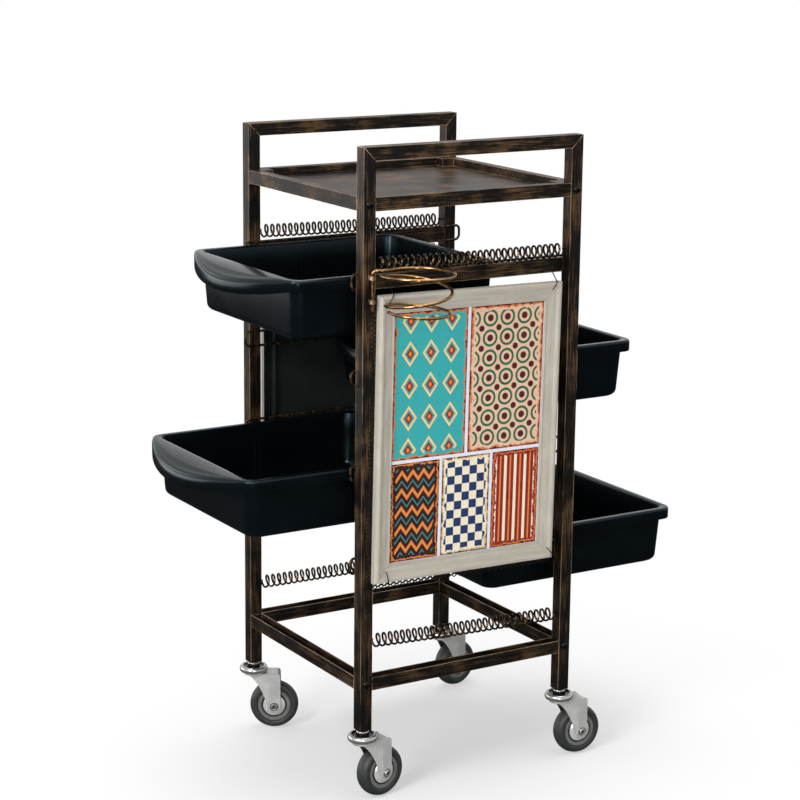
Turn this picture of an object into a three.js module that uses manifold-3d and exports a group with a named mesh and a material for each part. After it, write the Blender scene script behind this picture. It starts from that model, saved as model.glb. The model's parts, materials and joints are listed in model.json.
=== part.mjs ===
// Rolling salon trolley: two end frames of square tube, a top pan, four sliding
// trays, spring organisers, a hair-dryer ring, hung pictures and four casters.
// Millimetres, +Z up. X runs along the end frames, Y from the near end to the far end.
// The origin ends up on the floor, under the middle of the bounding box.
import * as THREE from 'three';
import { mergeVertices } from 'three/addons/utils/BufferGeometryUtils.js';
import Module from 'manifold-3d';

const wasm = await Module();
wasm.setup();

// ---------------------------------------------------------------- driving dimensions
const GAP = 0.3;                 // clearance left between neighbouring pieces
const FRAME_WIDTH = 363;         // outer size along X
const FRAME_DEPTH = 354.4;       // outer size along Y
const FRAME_TOP = 943;           // top of the end frames above the floor
const LEG_BOTTOM = 107;          // height of a caster
const TUBE = 19;                 // square tube
const TUBE_WALL = 1.4;

const PAN_TOP = 874.4;           // top pan
const PAN_HEIGHT = 19.5;
const PAN_LIP = 14;
const PAN_RECESS = 12;
const SHEET = 1.2;

const CHANNEL_TOP = 186;         // lower channels, open upwards
const CHANNEL_WALL = 1.5;

const RAIL_LEVELS = [756, 620.5, 485, 349.5];
const ROD_RADIUS = 2;
const ROD_SPREAD = 22;           // between the centres of a rail's two rods
const ROD_BEND = 7;              // corner radius at the rounded ends of a rail
const ROD_STEP = 2.2;            // how far a rail's ends stand outwards beyond the legs
const BAR = { bottom: 745, top: 765, thickness: 4 };   // flat bar across each end

const TRAY = {
  length: 347, width: 310, corner: 20, depth: 87, wall: 2.4,
  rimHeight: 16.5, overhang: 9, draft: 5, floorCorner: 14,
  handleBulge: 36, handleHalfWidth: 141, handleDrop: 8, handleSkirt: 29,
};
const TRAY_SHIFTS = [-107, 129, -178.5, 214.5];   // rest offset of each tray from centred

const SPRING_LEVELS = { upper: 778, lower: 232 };
const SPRING_RADIUS = 8.9;       // centre of the wire
const SPRING_WIRE = 1.4;
const SPRING_TURNS = 31;

const BOLT_LEVELS = { top: 864.6, bottom: 177 };
const BOLT_RADIUS = 3;
const BOLT_CLEARANCE = 3.3;

const PICTURE = {
  width: 304, height: 412, depth: 12, moulding: 26, panel: 3,
  x: -11.5, z: 531.5, tilt: THREE.MathUtils.degToRad(-0.9),
};
const FAR_PICTURE_X = 5;
const HANGER_X = { left: -135, right: 130 };
const MESH_THICKNESS = 1.2;
const MESH_MARGIN = 2;
const REBATE = 4;                // how far a picture's panel reaches behind its moulding

const HOLDER = {
  rodX: -171, rodY: -183.5, bottom: 719, top: 775, x: -131, y: -237, radius: 51, wire: 2.2,
};
const EYE_LEVELS = { upper: 765, lower: 732 };
const EYE_RADIUS = 4.8;
const EYE_HEIGHT = 5;

const CASTER = {
  wheelRadius: 37.5, treadWidth: 23, hubRadius: 25.5, trail: 32,
  forkTop: 92, sideInner: 13.6, plate: 2.2, axleRadius: 4,
};
// name, signs of X and Y, and the direction in which the wheel trails, in degrees from +X
const CORNERS = [
  ['near_left', -1, -1, 8.5],
  ['near_right', 1, -1, -3],
  ['far_left', -1, 1, -30],
  ['far_right', 1, 1, 10],
];

const halfWidth = FRAME_WIDTH / 2;
const halfDepth = FRAME_DEPTH / 2;
const legX = halfWidth - TUBE / 2;
const legY = halfDepth - TUBE / 2;
const innerX = halfWidth - TUBE;
const innerY = halfDepth - TUBE;
const boltY = halfDepth;

// ---------------------------------------------------------------- materials
function finish(color, roughness, metalness) {
  return new THREE.MeshStandardMaterial({ color, roughness, metalness });
}
const MATERIALS = {
  frame: finish(0x2b221c, 0.45, 0.6),
  spring: finish(0x161514, 0.4, 0.7),
  plastic: finish(0x0d0f11, 0.38, 0),
  copper: finish(0x8a6a3c, 0.35, 0.9),
  bolt: finish(0x101010, 0.35, 0.7),
  moulding: finish(0xb5afa3, 0.7, 0),
  poster: finish(0x2f8f8b, 0.35, 0),
  backing: finish(0x15181b, 0.25, 0),
  mesh: finish(0x1a1917, 0.5, 0.6),
  wire: finish(0x0c0c0c, 0.5, 0.4),
  zinc: finish(0xb3b3b0, 0.3, 0.9),
  rubber: finish(0x2f3133, 0.75, 0),
  hub: finish(0x6c6e70, 0.6, 0),
};

// ---------------------------------------------------------------- solids
function toSolid(geometry) {
  const bare = geometry.index ? geometry.toNonIndexed() : geometry.clone();
  bare.deleteAttribute('normal');
  bare.deleteAttribute('uv');
  const merged = mergeVertices(bare, 1e-4);
  return new wasm.Manifold(new wasm.Mesh({
    numProp: 3,
    vertProperties: new Float32Array(merged.attributes.position.array),
    triVerts: new Uint32Array(merged.index.array),
  }));
}

function toGeometry(solid) {
  const mesh = solid.getMesh();
  const geometry = new THREE.BufferGeometry();
  const position = new Float32Array(mesh.vertProperties);
  geometry.setAttribute('position', new THREE.BufferAttribute(position, 3));
  geometry.setIndex(new THREE.BufferAttribute(new Uint32Array(mesh.triVerts), 1));
  return geometry;
}

function box(x0, x1, y0, y1, z0, z1) {
  const geometry = new THREE.BoxGeometry(x1 - x0, y1 - y0, z1 - z0);
  geometry.translate((x0 + x1) / 2, (y0 + y1) / 2, (z0 + z1) / 2);
  return geometry;
}

// A cylinder about a line through `centre`, along 'x', 'y' or 'z'.
function cylinder(radius, length, axis, centre, segments = 10) {
  const geometry = new THREE.CylinderGeometry(radius, radius, length, segments);
  if (axis === 'x') geometry.rotateZ(Math.PI / 2);
  if (axis === 'z') geometry.rotateX(Math.PI / 2);
  geometry.translate(centre[0], centre[1], centre[2]);
  return geometry;
}

// A plan outline raised along Z from z0 to z1.
function raise(shape, z0, z1, curveSegments = 3) {
  const geometry = new THREE.ExtrudeGeometry(shape, {
    depth: z1 - z0, bevelEnabled: false, curveSegments,
  });
  geometry.translate(0, 0, z0);
  return geometry;
}

function polygon(points) {
  return new THREE.Shape(points.map(([x, y]) => new THREE.Vector2(x, y)));
}

function roundedRectangle(width, height, radius) {
  const x = width / 2;
  const y = height / 2;
  const shape = new THREE.Shape();
  shape.moveTo(-x + radius, -y);
  shape.lineTo(x - radius, -y);
  shape.absarc(x - radius, -y + radius, radius, -Math.PI / 2, 0, false);
  shape.lineTo(x, y - radius);
  shape.absarc(x - radius, y - radius, radius, 0, Math.PI / 2, false);
  shape.lineTo(-x + radius, y);
  shape.absarc(-x + radius, y - radius, radius, Math.PI / 2, Math.PI, false);
  shape.lineTo(-x, -y + radius);
  shape.absarc(-x + radius, -y + radius, radius, Math.PI, Math.PI * 1.5, false);
  return shape;
}

// A round wire along a curve. The curve has no straight-to-straight kinks.
function wire(curve, radius, steps, sides) {
  const section = new THREE.Shape();
  section.absarc(0, 0, radius, 0, Math.PI * 2, false);
  return new THREE.ExtrudeGeometry(section, {
    extrudePath: curve, steps, bevelEnabled: false, curveSegments: sides,
  });
}

function mesh(name, geometry, material) {
  const object = new THREE.Mesh(geometry, MATERIALS[material]);
  object.name = name;
  return object;
}

// ---------------------------------------------------------------- end frames
// An upturned U of square tube, hollow and open at the two feet.
function endFrame(ySign) {
  const outline = (inset) => polygon([
    [-halfWidth + inset, LEG_BOTTOM - (inset > 0 ? 1 : 0)],
    [-innerX - inset, LEG_BOTTOM - (inset > 0 ? 1 : 0)],
    [-innerX - inset, FRAME_TOP - TUBE + inset],
    [innerX + inset, FRAME_TOP - TUBE + inset],
    [innerX + inset, LEG_BOTTOM - (inset > 0 ? 1 : 0)],
    [halfWidth - inset, LEG_BOTTOM - (inset > 0 ? 1 : 0)],
    [halfWidth - inset, FRAME_TOP - inset],
    [-halfWidth + inset, FRAME_TOP - inset],
  ]);
  const upright = (inset) => {
    const geometry = raise(outline(inset), -TUBE / 2 + inset, TUBE / 2 - inset);
    geometry.rotateX(Math.PI / 2);
    geometry.translate(0, ySign * legY, 0);
    return toSolid(geometry);
  };
  let solid = upright(0).subtract(upright(TUBE_WALL));
  for (const level of Object.values(BOLT_LEVELS)) {
    for (const x of [-legX, legX]) {
      const hole = cylinder(BOLT_CLEARANCE, TUBE * 2, 'y', [x, ySign * legY, level]);
      solid = solid.subtract(toSolid(hole));
    }
  }
  return solid;
}

// A welded eye on the near left leg, in which the pin of the dryer ring turns.
function eyeSolid(level) {
  const ring = cylinder(EYE_RADIUS, EYE_HEIGHT, 'z', [HOLDER.rodX, HOLDER.rodY, level], 12);
  const bore = cylinder(HOLDER.wire + 0.4, 2 * EYE_HEIGHT, 'z', [HOLDER.rodX, HOLDER.rodY, level], 12);
  const lug = box(
    HOLDER.rodX - 2, HOLDER.rodX + 2, HOLDER.rodY + 3, -halfDepth + TUBE_WALL / 2,
    level - EYE_HEIGHT / 2, level + EYE_HEIGHT / 2,
  );
  return toSolid(ring).add(toSolid(lug)).subtract(toSolid(bore));
}

function endFrames() {
  const group = new THREE.Group();
  let near = endFrame(-1);
  for (const level of Object.values(EYE_LEVELS)) near = near.add(eyeSolid(level));
  group.add(mesh('end_frame_near', toGeometry(near), 'frame'));
  group.add(mesh('end_frame_far', toGeometry(endFrame(1)), 'frame'));
  return group;
}

// A flat bar between the legs of each end, its inner face level with theirs.
function crossBars() {
  const group = new THREE.Group();
  for (const [side, sign] of [['near', -1], ['far', 1]]) {
    const reach = innerX - GAP;
    const geometry = box(-reach, reach, 0, BAR.thickness, BAR.bottom, BAR.top);
    geometry.translate(0, sign < 0 ? -innerY - BAR.thickness : innerY, 0);
    group.add(mesh(`cross_bar_${side}`, geometry, 'frame'));
  }
  return group;
}

// ---------------------------------------------------------------- lower channels
// A channel of length `length` along X, open upwards, its top at z = 0.
function channel(length, plated) {
  const half = length / 2;
  const outer = toSolid(box(-half, half, -TUBE / 2, TUBE / 2, -TUBE, 0));
  const end = plated ? half - 2 * CHANNEL_WALL : half + 1;
  const inner = box(
    -end, end, -TUBE / 2 + CHANNEL_WALL, TUBE / 2 - CHANNEL_WALL, -TUBE + CHANNEL_WALL, 1,
  );
  let solid = outer.subtract(toSolid(inner));
  if (plated) {
    const drill = cylinder(BOLT_CLEARANCE, length + 2, 'x', [0, 0, BOLT_LEVELS.bottom - CHANNEL_TOP]);
    solid = solid.subtract(toSolid(drill));
  }
  return solid;
}

function lowerChannels() {
  const group = new THREE.Group();
  for (const [side, sign] of [['near', -1], ['far', 1]]) {
    const across = mesh(`bottom_channel_${side}`, toGeometry(channel(2 * (innerX - GAP), false)), 'frame');
    across.position.set(0, sign * legY, CHANNEL_TOP);
    group.add(across);
  }
  for (const [side, sign] of [['left', -1], ['right', 1]]) {
    const along = mesh(`bottom_channel_${side}`, toGeometry(channel(2 * (innerY - GAP), true)), 'frame');
    along.rotation.z = Math.PI / 2;
    along.position.set(sign * legX, 0, CHANNEL_TOP);
    group.add(along);
  }
  return group;
}

// ---------------------------------------------------------------- top pan
// The plan of the pan: a rectangle with its corners notched around the legs.
function panOutline(inset) {
  const x = halfWidth - inset;
  const y = halfDepth - inset;
  const nx = innerX - GAP - inset;
  const ny = innerY - GAP - inset;
  return polygon([
    [-nx, -y], [nx, -y], [nx, -ny], [x, -ny], [x, ny], [nx, ny],
    [nx, y], [-nx, y], [-nx, ny], [-x, ny], [-x, -ny], [-nx, -ny],
  ]);
}

function topPan() {
  const bottom = PAN_TOP - PAN_HEIGHT;
  const floorTop = PAN_TOP - PAN_RECESS;
  const recess = panOutline(PAN_LIP);
  const recessSolid = toSolid(raise(recess, floorTop, PAN_TOP + 1));
  const underside = toSolid(raise(panOutline(SHEET), bottom - 1, PAN_TOP - SHEET));
  const kept = toSolid(raise(panOutline(PAN_LIP - SHEET), floorTop - SHEET, PAN_TOP + 1));
  let solid = toSolid(raise(panOutline(0), bottom, PAN_TOP));
  solid = solid.subtract(underside.subtract(kept)).subtract(recessSolid);
  for (const x of [-legX, legX]) {
    const drill = cylinder(BOLT_CLEARANCE, 2 * innerY + 2, 'y', [x, 0, BOLT_LEVELS.top]);
    solid = solid.subtract(toSolid(drill));
  }
  return mesh('top_tray', toGeometry(solid), 'frame');
}

// ---------------------------------------------------------------- tray rails
// A curve through points that a sweep follows point by point, however they are spaced.
class PointCurve extends THREE.CatmullRomCurve3 {
  constructor(points, closed = false) {
    super(points.map((p) => new THREE.Vector3(...p)), closed, 'centripetal');
  }

  getUtoTmapping(u) {
    return u;
  }
}

// A rail: a closed loop of rod lying against the legs. Its rounded ends stand outwards
// beyond the legs, out of the way of a sliding tray.
function railGeometry(ySign) {
  const rodY = innerY - GAP - ROD_RADIUS;
  const straight = halfWidth + 0.5;
  const rise = ROD_SPREAD / 2;
  const flat = rise - ROD_BEND;
  const diagonal = ROD_BEND * Math.SQRT1_2;
  const end = [
    [straight, rodY, -rise],
    [straight + diagonal, rodY + ROD_STEP, -flat - diagonal],
    [straight + ROD_BEND, rodY + ROD_STEP, -flat],
    [straight + ROD_BEND, rodY + ROD_STEP, flat],
    [straight + diagonal, rodY + ROD_STEP, flat + diagonal],
    [straight, rodY, rise],
  ];
  const otherEnd = end.map(([x, y, z]) => [-x, y, -z]);
  const points = [...end, ...otherEnd].map(([x, y, z]) => [x, ySign * y, z]);
  return new THREE.TubeGeometry(new PointCurve(points, true), points.length, ROD_RADIUS, 6, true);
}

function rails() {
  const group = new THREE.Group();
  for (const [side, sign] of [['near', -1], ['far', 1]]) {
    RAIL_LEVELS.forEach((level, i) => {
      const rail = mesh(`rail_${i + 1}_${side}`, railGeometry(sign), 'frame');
      rail.position.z = level;
      group.add(rail);
    });
  }
  return group;
}

// ---------------------------------------------------------------- trays
// Narrows a solid linearly towards its bottom, by `draft` on each side over `depth`.
function drafted(geometry, depth, draft, length, width) {
  const position = geometry.attributes.position;
  for (let i = 0; i < position.count; i += 1) {
    const down = -position.getZ(i) / depth;
    position.setX(i, position.getX(i) * (1 - (2 * draft * down) / length));
    position.setY(i, position.getY(i) * (1 - (2 * draft * down) / width));
  }
  return geometry;
}

// The crescent of the handle lip in plan, grown outwards by `grow`.
function crescent(grow) {
  const half = TRAY.handleHalfWidth + grow;
  const bulge = TRAY.handleBulge + grow;
  const radius = (half * half + bulge * bulge) / (2 * bulge);
  const edge = -TRAY.length / 2;
  const centre = edge - bulge + radius;
  const sweep = Math.asin(half / radius);
  const shape = new THREE.Shape();
  shape.moveTo(edge + TRAY.overhang - 1, half);
  shape.lineTo(edge, half);
  shape.absarc(centre, 0, radius, Math.PI - sweep, Math.PI + sweep, false);
  shape.lineTo(edge + TRAY.overhang - 1, -half);
  return shape;
}

// The hand-hold: a hooded lip whose top falls outwards and whose skirt is deepest
// in the middle. It is open underneath.
function handleSolid() {
  const edge = -TRAY.length / 2;
  const reach = TRAY.handleBulge + 10;
  const skirt = TRAY.handleSkirt;
  let solid = toSolid(raise(crescent(0), -skirt - TRAY.handleDrop, 0, 14));
  const fall = (TRAY.handleDrop * reach) / TRAY.handleBulge;
  const above = (lower) => {
    const wedge = raise(
      polygon([[edge, lower], [edge - reach, lower - fall], [edge - reach, 9], [edge, 9]]),
      -TRAY.width, TRAY.width,
    );
    wedge.rotateX(Math.PI / 2);
    return toSolid(wedge);
  };
  solid = solid.subtract(above(0));
  const below = new THREE.Shape();
  const side = TRAY.handleHalfWidth + 8;
  below.moveTo(-side, -TRAY.rimHeight);
  below.quadraticCurveTo(0, -2 * (skirt + TRAY.handleDrop - 3) + TRAY.rimHeight, side, -TRAY.rimHeight);
  below.lineTo(side, -80);
  below.lineTo(-side, -80);
  const cut = new THREE.ExtrudeGeometry(below, { depth: 200, bevelEnabled: false, curveSegments: 8 });
  cut.rotateX(Math.PI / 2);
  cut.rotateZ(Math.PI / 2);
  cut.translate(edge - 120, 0, 0);
  solid = solid.subtract(toSolid(cut));
  const hollow = toSolid(raise(crescent(-TRAY.wall), -80, 9, 14)).subtract(above(-TRAY.wall));
  return solid.subtract(hollow);
}

function traySolid() {
  const bodyLength = TRAY.length - 2 * TRAY.overhang;
  const bodyWidth = TRAY.width - 2 * TRAY.overhang;
  const wall = TRAY.wall;
  const outer = drafted(
    raise(roundedRectangle(bodyLength, bodyWidth, TRAY.floorCorner), -TRAY.depth, 0),
    TRAY.depth, TRAY.draft, bodyLength, bodyWidth,
  );
  const innerLength = bodyLength - 2 * wall;
  const innerWidth = bodyWidth - 2 * wall;
  const inner = drafted(
    raise(roundedRectangle(innerLength, innerWidth, TRAY.floorCorner - wall), -TRAY.depth + wall, 1),
    TRAY.depth, TRAY.draft, innerLength, innerWidth,
  );
  const rim = raise(roundedRectangle(TRAY.length, TRAY.width, TRAY.corner), -TRAY.rimHeight, 0);
  const underRim = raise(
    roundedRectangle(TRAY.length - 2 * wall, TRAY.width - 2 * wall, TRAY.corner - wall),
    -TRAY.rimHeight - 1, -wall,
  );
  const rimSolid = toSolid(rim).subtract(toSolid(underRim));
  return rimSolid.add(toSolid(outer)).add(handleSolid()).subtract(toSolid(inner));
}

function trays() {
  const group = new THREE.Group();
  const rimAboveRail = -ROD_SPREAD / 2 + ROD_RADIUS + GAP + TRAY.rimHeight;
  TRAY_SHIFTS.forEach((shift, i) => {
    const tray = mesh(`tray_${i + 1}`, toGeometry(traySolid()), 'plastic');
    tray.position.set(shift, 0, RAIL_LEVELS[i] + rimAboveRail);
    group.add(tray);
  });
  return group;
}

// ---------------------------------------------------------------- spring organisers
class Helix extends THREE.Curve {
  constructor(length, turns, radius) {
    super();
    Object.assign(this, { length, turns, radius });
  }

  getPoint(t, target = new THREE.Vector3()) {
    const angle = t * this.turns * Math.PI * 2;
    return target.set(
      (t - 0.5) * this.length, this.radius * Math.sin(angle), this.radius * Math.cos(angle),
    );
  }
}

function springs() {
  const group = new THREE.Group();
  const length = 2 * (innerX - GAP - SPRING_WIRE - 0.5);
  for (const [side, sign] of [['near', -1], ['far', 1]]) {
    for (const [row, level] of Object.entries(SPRING_LEVELS)) {
      const coil = new Helix(length, SPRING_TURNS, SPRING_RADIUS);
      const geometry = coilGeometry(coil, SPRING_WIRE, SPRING_TURNS * 5, 3);
      const spring = mesh(`spring_${row}_${side}`, geometry, 'spring');
      spring.position.set(0, sign * legY, level);
      group.add(spring);
    }
  }
  return group;
}

// A wire of few flat sides along a coil, with the sides kept square to the coil's axis.
function coilGeometry(coil, radius, steps, sides) {
  const section = new THREE.Shape();
  for (let k = 0; k < sides; k += 1) {
    const angle = (2 * Math.PI * k) / sides;
    const point = [radius * Math.cos(angle), radius * Math.sin(angle)];
    if (k === 0) section.moveTo(...point);
    else section.lineTo(...point);
  }
  return new THREE.ExtrudeGeometry(section, { extrudePath: coil, steps, bevelEnabled: false });
}

// ---------------------------------------------------------------- bolts
// A button-head bolt from the outer face of a leg, through it and into the rail behind.
function boltGeometry() {
  const length = TUBE + 8;
  const head = 5.6;
  const profile = [
    [0, -length], [BOLT_RADIUS, -length], [BOLT_RADIUS, GAP], [head, GAP],
    [head, 1.6], [4.2, 3.1], [0, 3.5],
  ];
  return new THREE.LatheGeometry(profile.map(([x, y]) => new THREE.Vector2(x, y)), 10);
}

function bolts() {
  const group = new THREE.Group();
  for (const [side, sx, sy] of CORNERS) {
    for (const [row, level] of Object.entries(BOLT_LEVELS)) {
      const bolt = mesh(`bolt_${row}_${side}`, boltGeometry(), 'bolt');
      bolt.rotation.x = sy < 0 ? Math.PI : 0;
      bolt.position.set(sx * legX, sy * boltY, level);
      group.add(bolt);
    }
  }
  return group;
}

// ---------------------------------------------------------------- hair-dryer ring
// One bent wire: a pin that stands in two eyes, an arm, a flat ring and a falling turn
// that ends in a smaller ring.
class HolderCurve extends THREE.Curve {
  getPoint(t, target = new THREE.Vector3()) {
    const turns = 2.84 * t;
    const angle = THREE.MathUtils.degToRad(118) - turns * Math.PI * 2;
    const falling = THREE.MathUtils.clamp((turns - 0.8) / 1.1, 0, 1);
    const tail = THREE.MathUtils.clamp(turns - 1.9, 0, 1);
    const radius = HOLDER.radius - 7 * falling;
    const drop = 43 * falling + 11 * Math.sin(Math.PI * tail * 0.88);
    return target.set(
      HOLDER.x + radius * Math.cos(angle), HOLDER.y + radius * Math.sin(angle), HOLDER.top - drop,
    );
  }
}

function dryerHolder() {
  const rings = new HolderCurve();
  const start = rings.getPoint(0);
  const pin = new THREE.Vector3(HOLDER.rodX, HOLDER.rodY, HOLDER.bottom);
  const elbow = new THREE.Vector3(HOLDER.rodX, HOLDER.rodY, HOLDER.top);
  const bend = 5;
  const along = start.clone().sub(elbow).normalize();
  const points = [
    pin,
    elbow.clone().add(new THREE.Vector3(0, 0, -24)),
    elbow.clone().add(new THREE.Vector3(0, 0, -bend)),
    elbow.clone().addScaledVector(along, bend * 0.3).add(new THREE.Vector3(0, 0, -bend * 0.3)),
    elbow.clone().addScaledVector(along, bend),
    start.clone().addScaledVector(along, -2),
  ];
  for (let k = 1; k <= 68; k += 1) points.push(rings.getPoint(k / 68));
  const path = new THREE.CatmullRomCurve3(points, false, 'centripetal');
  return mesh('dryer_holder', wire(path, HOLDER.wire, 76, 3), 'copper');
}

// ---------------------------------------------------------------- pictures
// A standing moulding with a rebate behind for its panel. Its front faces -Y and its back is y = 0.
function mouldingSolid() {
  const upright = (width, height, y0, y1) => toSolid(
    box(-width / 2, width / 2, y0, y1, -height / 2, height / 2),
  );
  const openWidth = PICTURE.width - 2 * PICTURE.moulding;
  const openHeight = PICTURE.height - 2 * PICTURE.moulding;
  const outer = upright(PICTURE.width, PICTURE.height, -PICTURE.depth, 0);
  const sight = upright(openWidth, openHeight, -PICTURE.depth - 1, 1);
  const rebate = upright(openWidth + 2 * REBATE, openHeight + 2 * REBATE, -PICTURE.panel - 2 * GAP, 1);
  return outer.subtract(sight).subtract(rebate);
}

function panelGeometry() {
  const width = PICTURE.width - 2 * PICTURE.moulding + 2 * REBATE - 2 * GAP;
  const height = PICTURE.height - 2 * PICTURE.moulding + 2 * REBATE - 2 * GAP;
  return box(-width / 2, width / 2, -PICTURE.panel - GAP, -GAP, -height / 2, height / 2);
}

// A wire hook from the top of the picture up over the flat bar and the top rail.
function hangerGeometry(x) {
  const radius = 0.9;
  const railTop = RAIL_LEVELS[0] + ROD_SPREAD / 2 + ROD_RADIUS;
  const rodY = -innerY + GAP + ROD_RADIUS;
  const slope = Math.sin(PICTURE.tilt) * (x - PICTURE.x);
  const foot = PICTURE.z + PICTURE.height / 2 + MESH_MARGIN + slope + radius + GAP;
  const outside = -innerY - BAR.thickness - radius - GAP;
  const curve = new PointCurve([
    [x, -halfDepth - 5, foot], [x, -halfDepth + 2, foot + 4], [x, outside - 1, BAR.bottom + 8],
    [x, outside, BAR.top + 0.6], [x, outside + 2, BAR.top + 2.3], [x, -innerY, railTop + 0.4],
    [x, rodY + 0.4, railTop + radius + 0.5], [x, rodY + 2.8, railTop + 0.2],
  ]);
  return wire(curve, radius, 9, 2);
}

function pictures() {
  const group = new THREE.Group();
  const hung = new THREE.Group();
  hung.add(mesh('picture_frame', toGeometry(mouldingSolid()), 'moulding'));
  hung.add(mesh('picture_panel', panelGeometry(), 'poster'));
  const half = [PICTURE.width / 2 + MESH_MARGIN, PICTURE.height / 2 + MESH_MARGIN];
  const sheet = box(-half[0], half[0], GAP, GAP + MESH_THICKNESS, -half[1], half[1]);
  hung.add(mesh('mesh_panel', sheet, 'mesh'));
  hung.position.set(PICTURE.x, -halfDepth - 2 * GAP - MESH_THICKNESS, PICTURE.z);
  hung.rotation.y = -PICTURE.tilt;
  group.add(hung);
  for (const [side, x] of Object.entries(HANGER_X)) {
    group.add(mesh(`hanger_${side}`, hangerGeometry(x), 'wire'));
  }
  const backBoard = toSolid(panelGeometry());
  const whole = mouldingSolid().add(backBoard.scale([1.01, 1, 1.01]));
  const far = mesh('far_picture', toGeometry(whole), 'backing');
  far.rotation.z = Math.PI;
  far.position.set(FAR_PICTURE_X, halfDepth + 2 * GAP, PICTURE.z);
  group.add(far);
  return group;
}

// ---------------------------------------------------------------- casters
function lathed(points, segments) {
  const profile = points.map(([x, y]) => new THREE.Vector2(x, y));
  profile.push(profile[0].clone());
  return new THREE.LatheGeometry(profile, segments);
}

// Bearing cup, nut and stem. The stem stands inside the leg.
function headGeometry() {
  const profile = [
    [0, 3], [10, 3], [10, 2], [21, 2], [21, 9], [17, 9], [15.5, 5.5], [9, 5.5],
    [9, LEG_BOTTOM - CASTER.forkTop - GAP], [5, LEG_BOTTOM - CASTER.forkTop - GAP],
    [5, LEG_BOTTOM - CASTER.forkTop + 32], [0, LEG_BOTTOM - CASTER.forkTop + 32],
  ];
  const geometry = new THREE.LatheGeometry(profile.map(([x, y]) => new THREE.Vector2(x, y)), 16);
  geometry.rotateX(Math.PI / 2);
  geometry.translate(0, 0, CASTER.forkTop);
  return geometry;
}

// Pressed fork: a round crown, a plate that runs back over the wheel and two cheeks.
function forkSolid() {
  const { forkTop, sideInner, plate, trail, wheelRadius } = CASTER;
  const crown = cylinder(21.5, plate, 'z', [0, 0, forkTop - plate / 2], 24);
  const half = sideInner + plate;
  const deck = box(0, trail + 8, -half, half, forkTop - plate, forkTop);
  let solid = toSolid(crown).add(toSolid(deck));
  const cheek = new THREE.Shape();
  cheek.moveTo(4, forkTop);
  cheek.lineTo(trail - 8.5, wheelRadius - 4);
  cheek.absarc(trail, wheelRadius, 10, Math.PI * 1.12, Math.PI * 1.9, false);
  cheek.lineTo(trail + 8, forkTop);
  for (const sign of [-1, 1]) {
    const geometry = raise(cheek, -plate / 2, plate / 2, 4);
    geometry.rotateX(Math.PI / 2);
    geometry.translate(0, sign * (sideInner + plate / 2), 0);
    solid = solid.add(toSolid(geometry));
  }
  const axleHole = cylinder(CASTER.axleRadius + GAP, 4 * half, 'y', [trail, 0, wheelRadius]);
  return solid.subtract(toSolid(axleHole));
}

function tyreGeometry() {
  const half = CASTER.treadWidth / 2;
  const outer = CASTER.wheelRadius;
  const inner = CASTER.hubRadius + GAP;
  return lathed([
    [inner, -half], [outer - 5, -half], [outer - 1.2, -half * 0.55],
    [outer, 0], [outer - 1.2, half * 0.55], [outer - 5, half], [inner, half],
  ], 24);
}

function hubGeometry() {
  const half = CASTER.treadWidth / 2 - 2.5;
  const boss = CASTER.sideInner - 0.6;
  const bore = CASTER.axleRadius + GAP;
  const edge = CASTER.hubRadius;
  return lathed([
    [bore, -boss], [11, -boss], [12, -half + 3], [21, -half + 3], [edge, -half],
    [edge, half], [21, half - 3], [12, half - 3], [11, boss], [bore, boss],
  ], 16);
}

function axleGeometry() {
  const cheek = CASTER.sideInner + CASTER.plate + GAP;
  const tip = cheek + 4;
  const r = CASTER.axleRadius;
  const profile = [
    [0, -tip], [6, -tip], [6, -cheek], [r, -cheek], [r, cheek], [6, cheek], [6, tip], [0, tip],
  ];
  return new THREE.LatheGeometry(profile.map(([x, y]) => new THREE.Vector2(x, y)), 10);
}

function casters() {
  const group = new THREE.Group();
  for (const [corner, sx, sy, degrees] of CORNERS) {
    const caster = new THREE.Group();
    const label = `caster_${corner}`;
    const head = mesh(`${label}_head`, headGeometry(), 'zinc');
    caster.add(head, mesh(`${label}_fork`, toGeometry(forkSolid()), 'zinc'));
    const wheel = new THREE.Group();
    wheel.add(
      mesh(`${label}_tyre`, tyreGeometry(), 'rubber'),
      mesh(`${label}_hub`, hubGeometry(), 'hub'),
      mesh(`${label}_axle`, axleGeometry(), 'zinc'),
    );
    wheel.position.set(CASTER.trail, 0, CASTER.wheelRadius);
    caster.add(wheel);
    caster.position.set(sx * legX, sy * legY, 0);
    caster.rotation.z = THREE.MathUtils.degToRad(degrees);
    group.add(caster);
  }
  return group;
}

// ---------------------------------------------------------------- assembly
const trolley = new THREE.Group();
trolley.add(
  endFrames(),
  crossBars(),
  lowerChannels(),
  topPan(),
  rails(),
  trays(),
  springs(),
  bolts(),
  dryerHolder(),
  pictures(),
  casters(),
);

const bounds = new THREE.Box3().setFromObject(trolley, true);
const middle = bounds.getCenter(new THREE.Vector3());
trolley.position.set(-middle.x, -middle.y, -bounds.min.z);

export default trolley;
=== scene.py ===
# Looks of the rolling salon trolley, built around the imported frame. Metres, row frame.
import json
import math

import bpy
import numpy as np
from mathutils import Matrix, Vector


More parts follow.
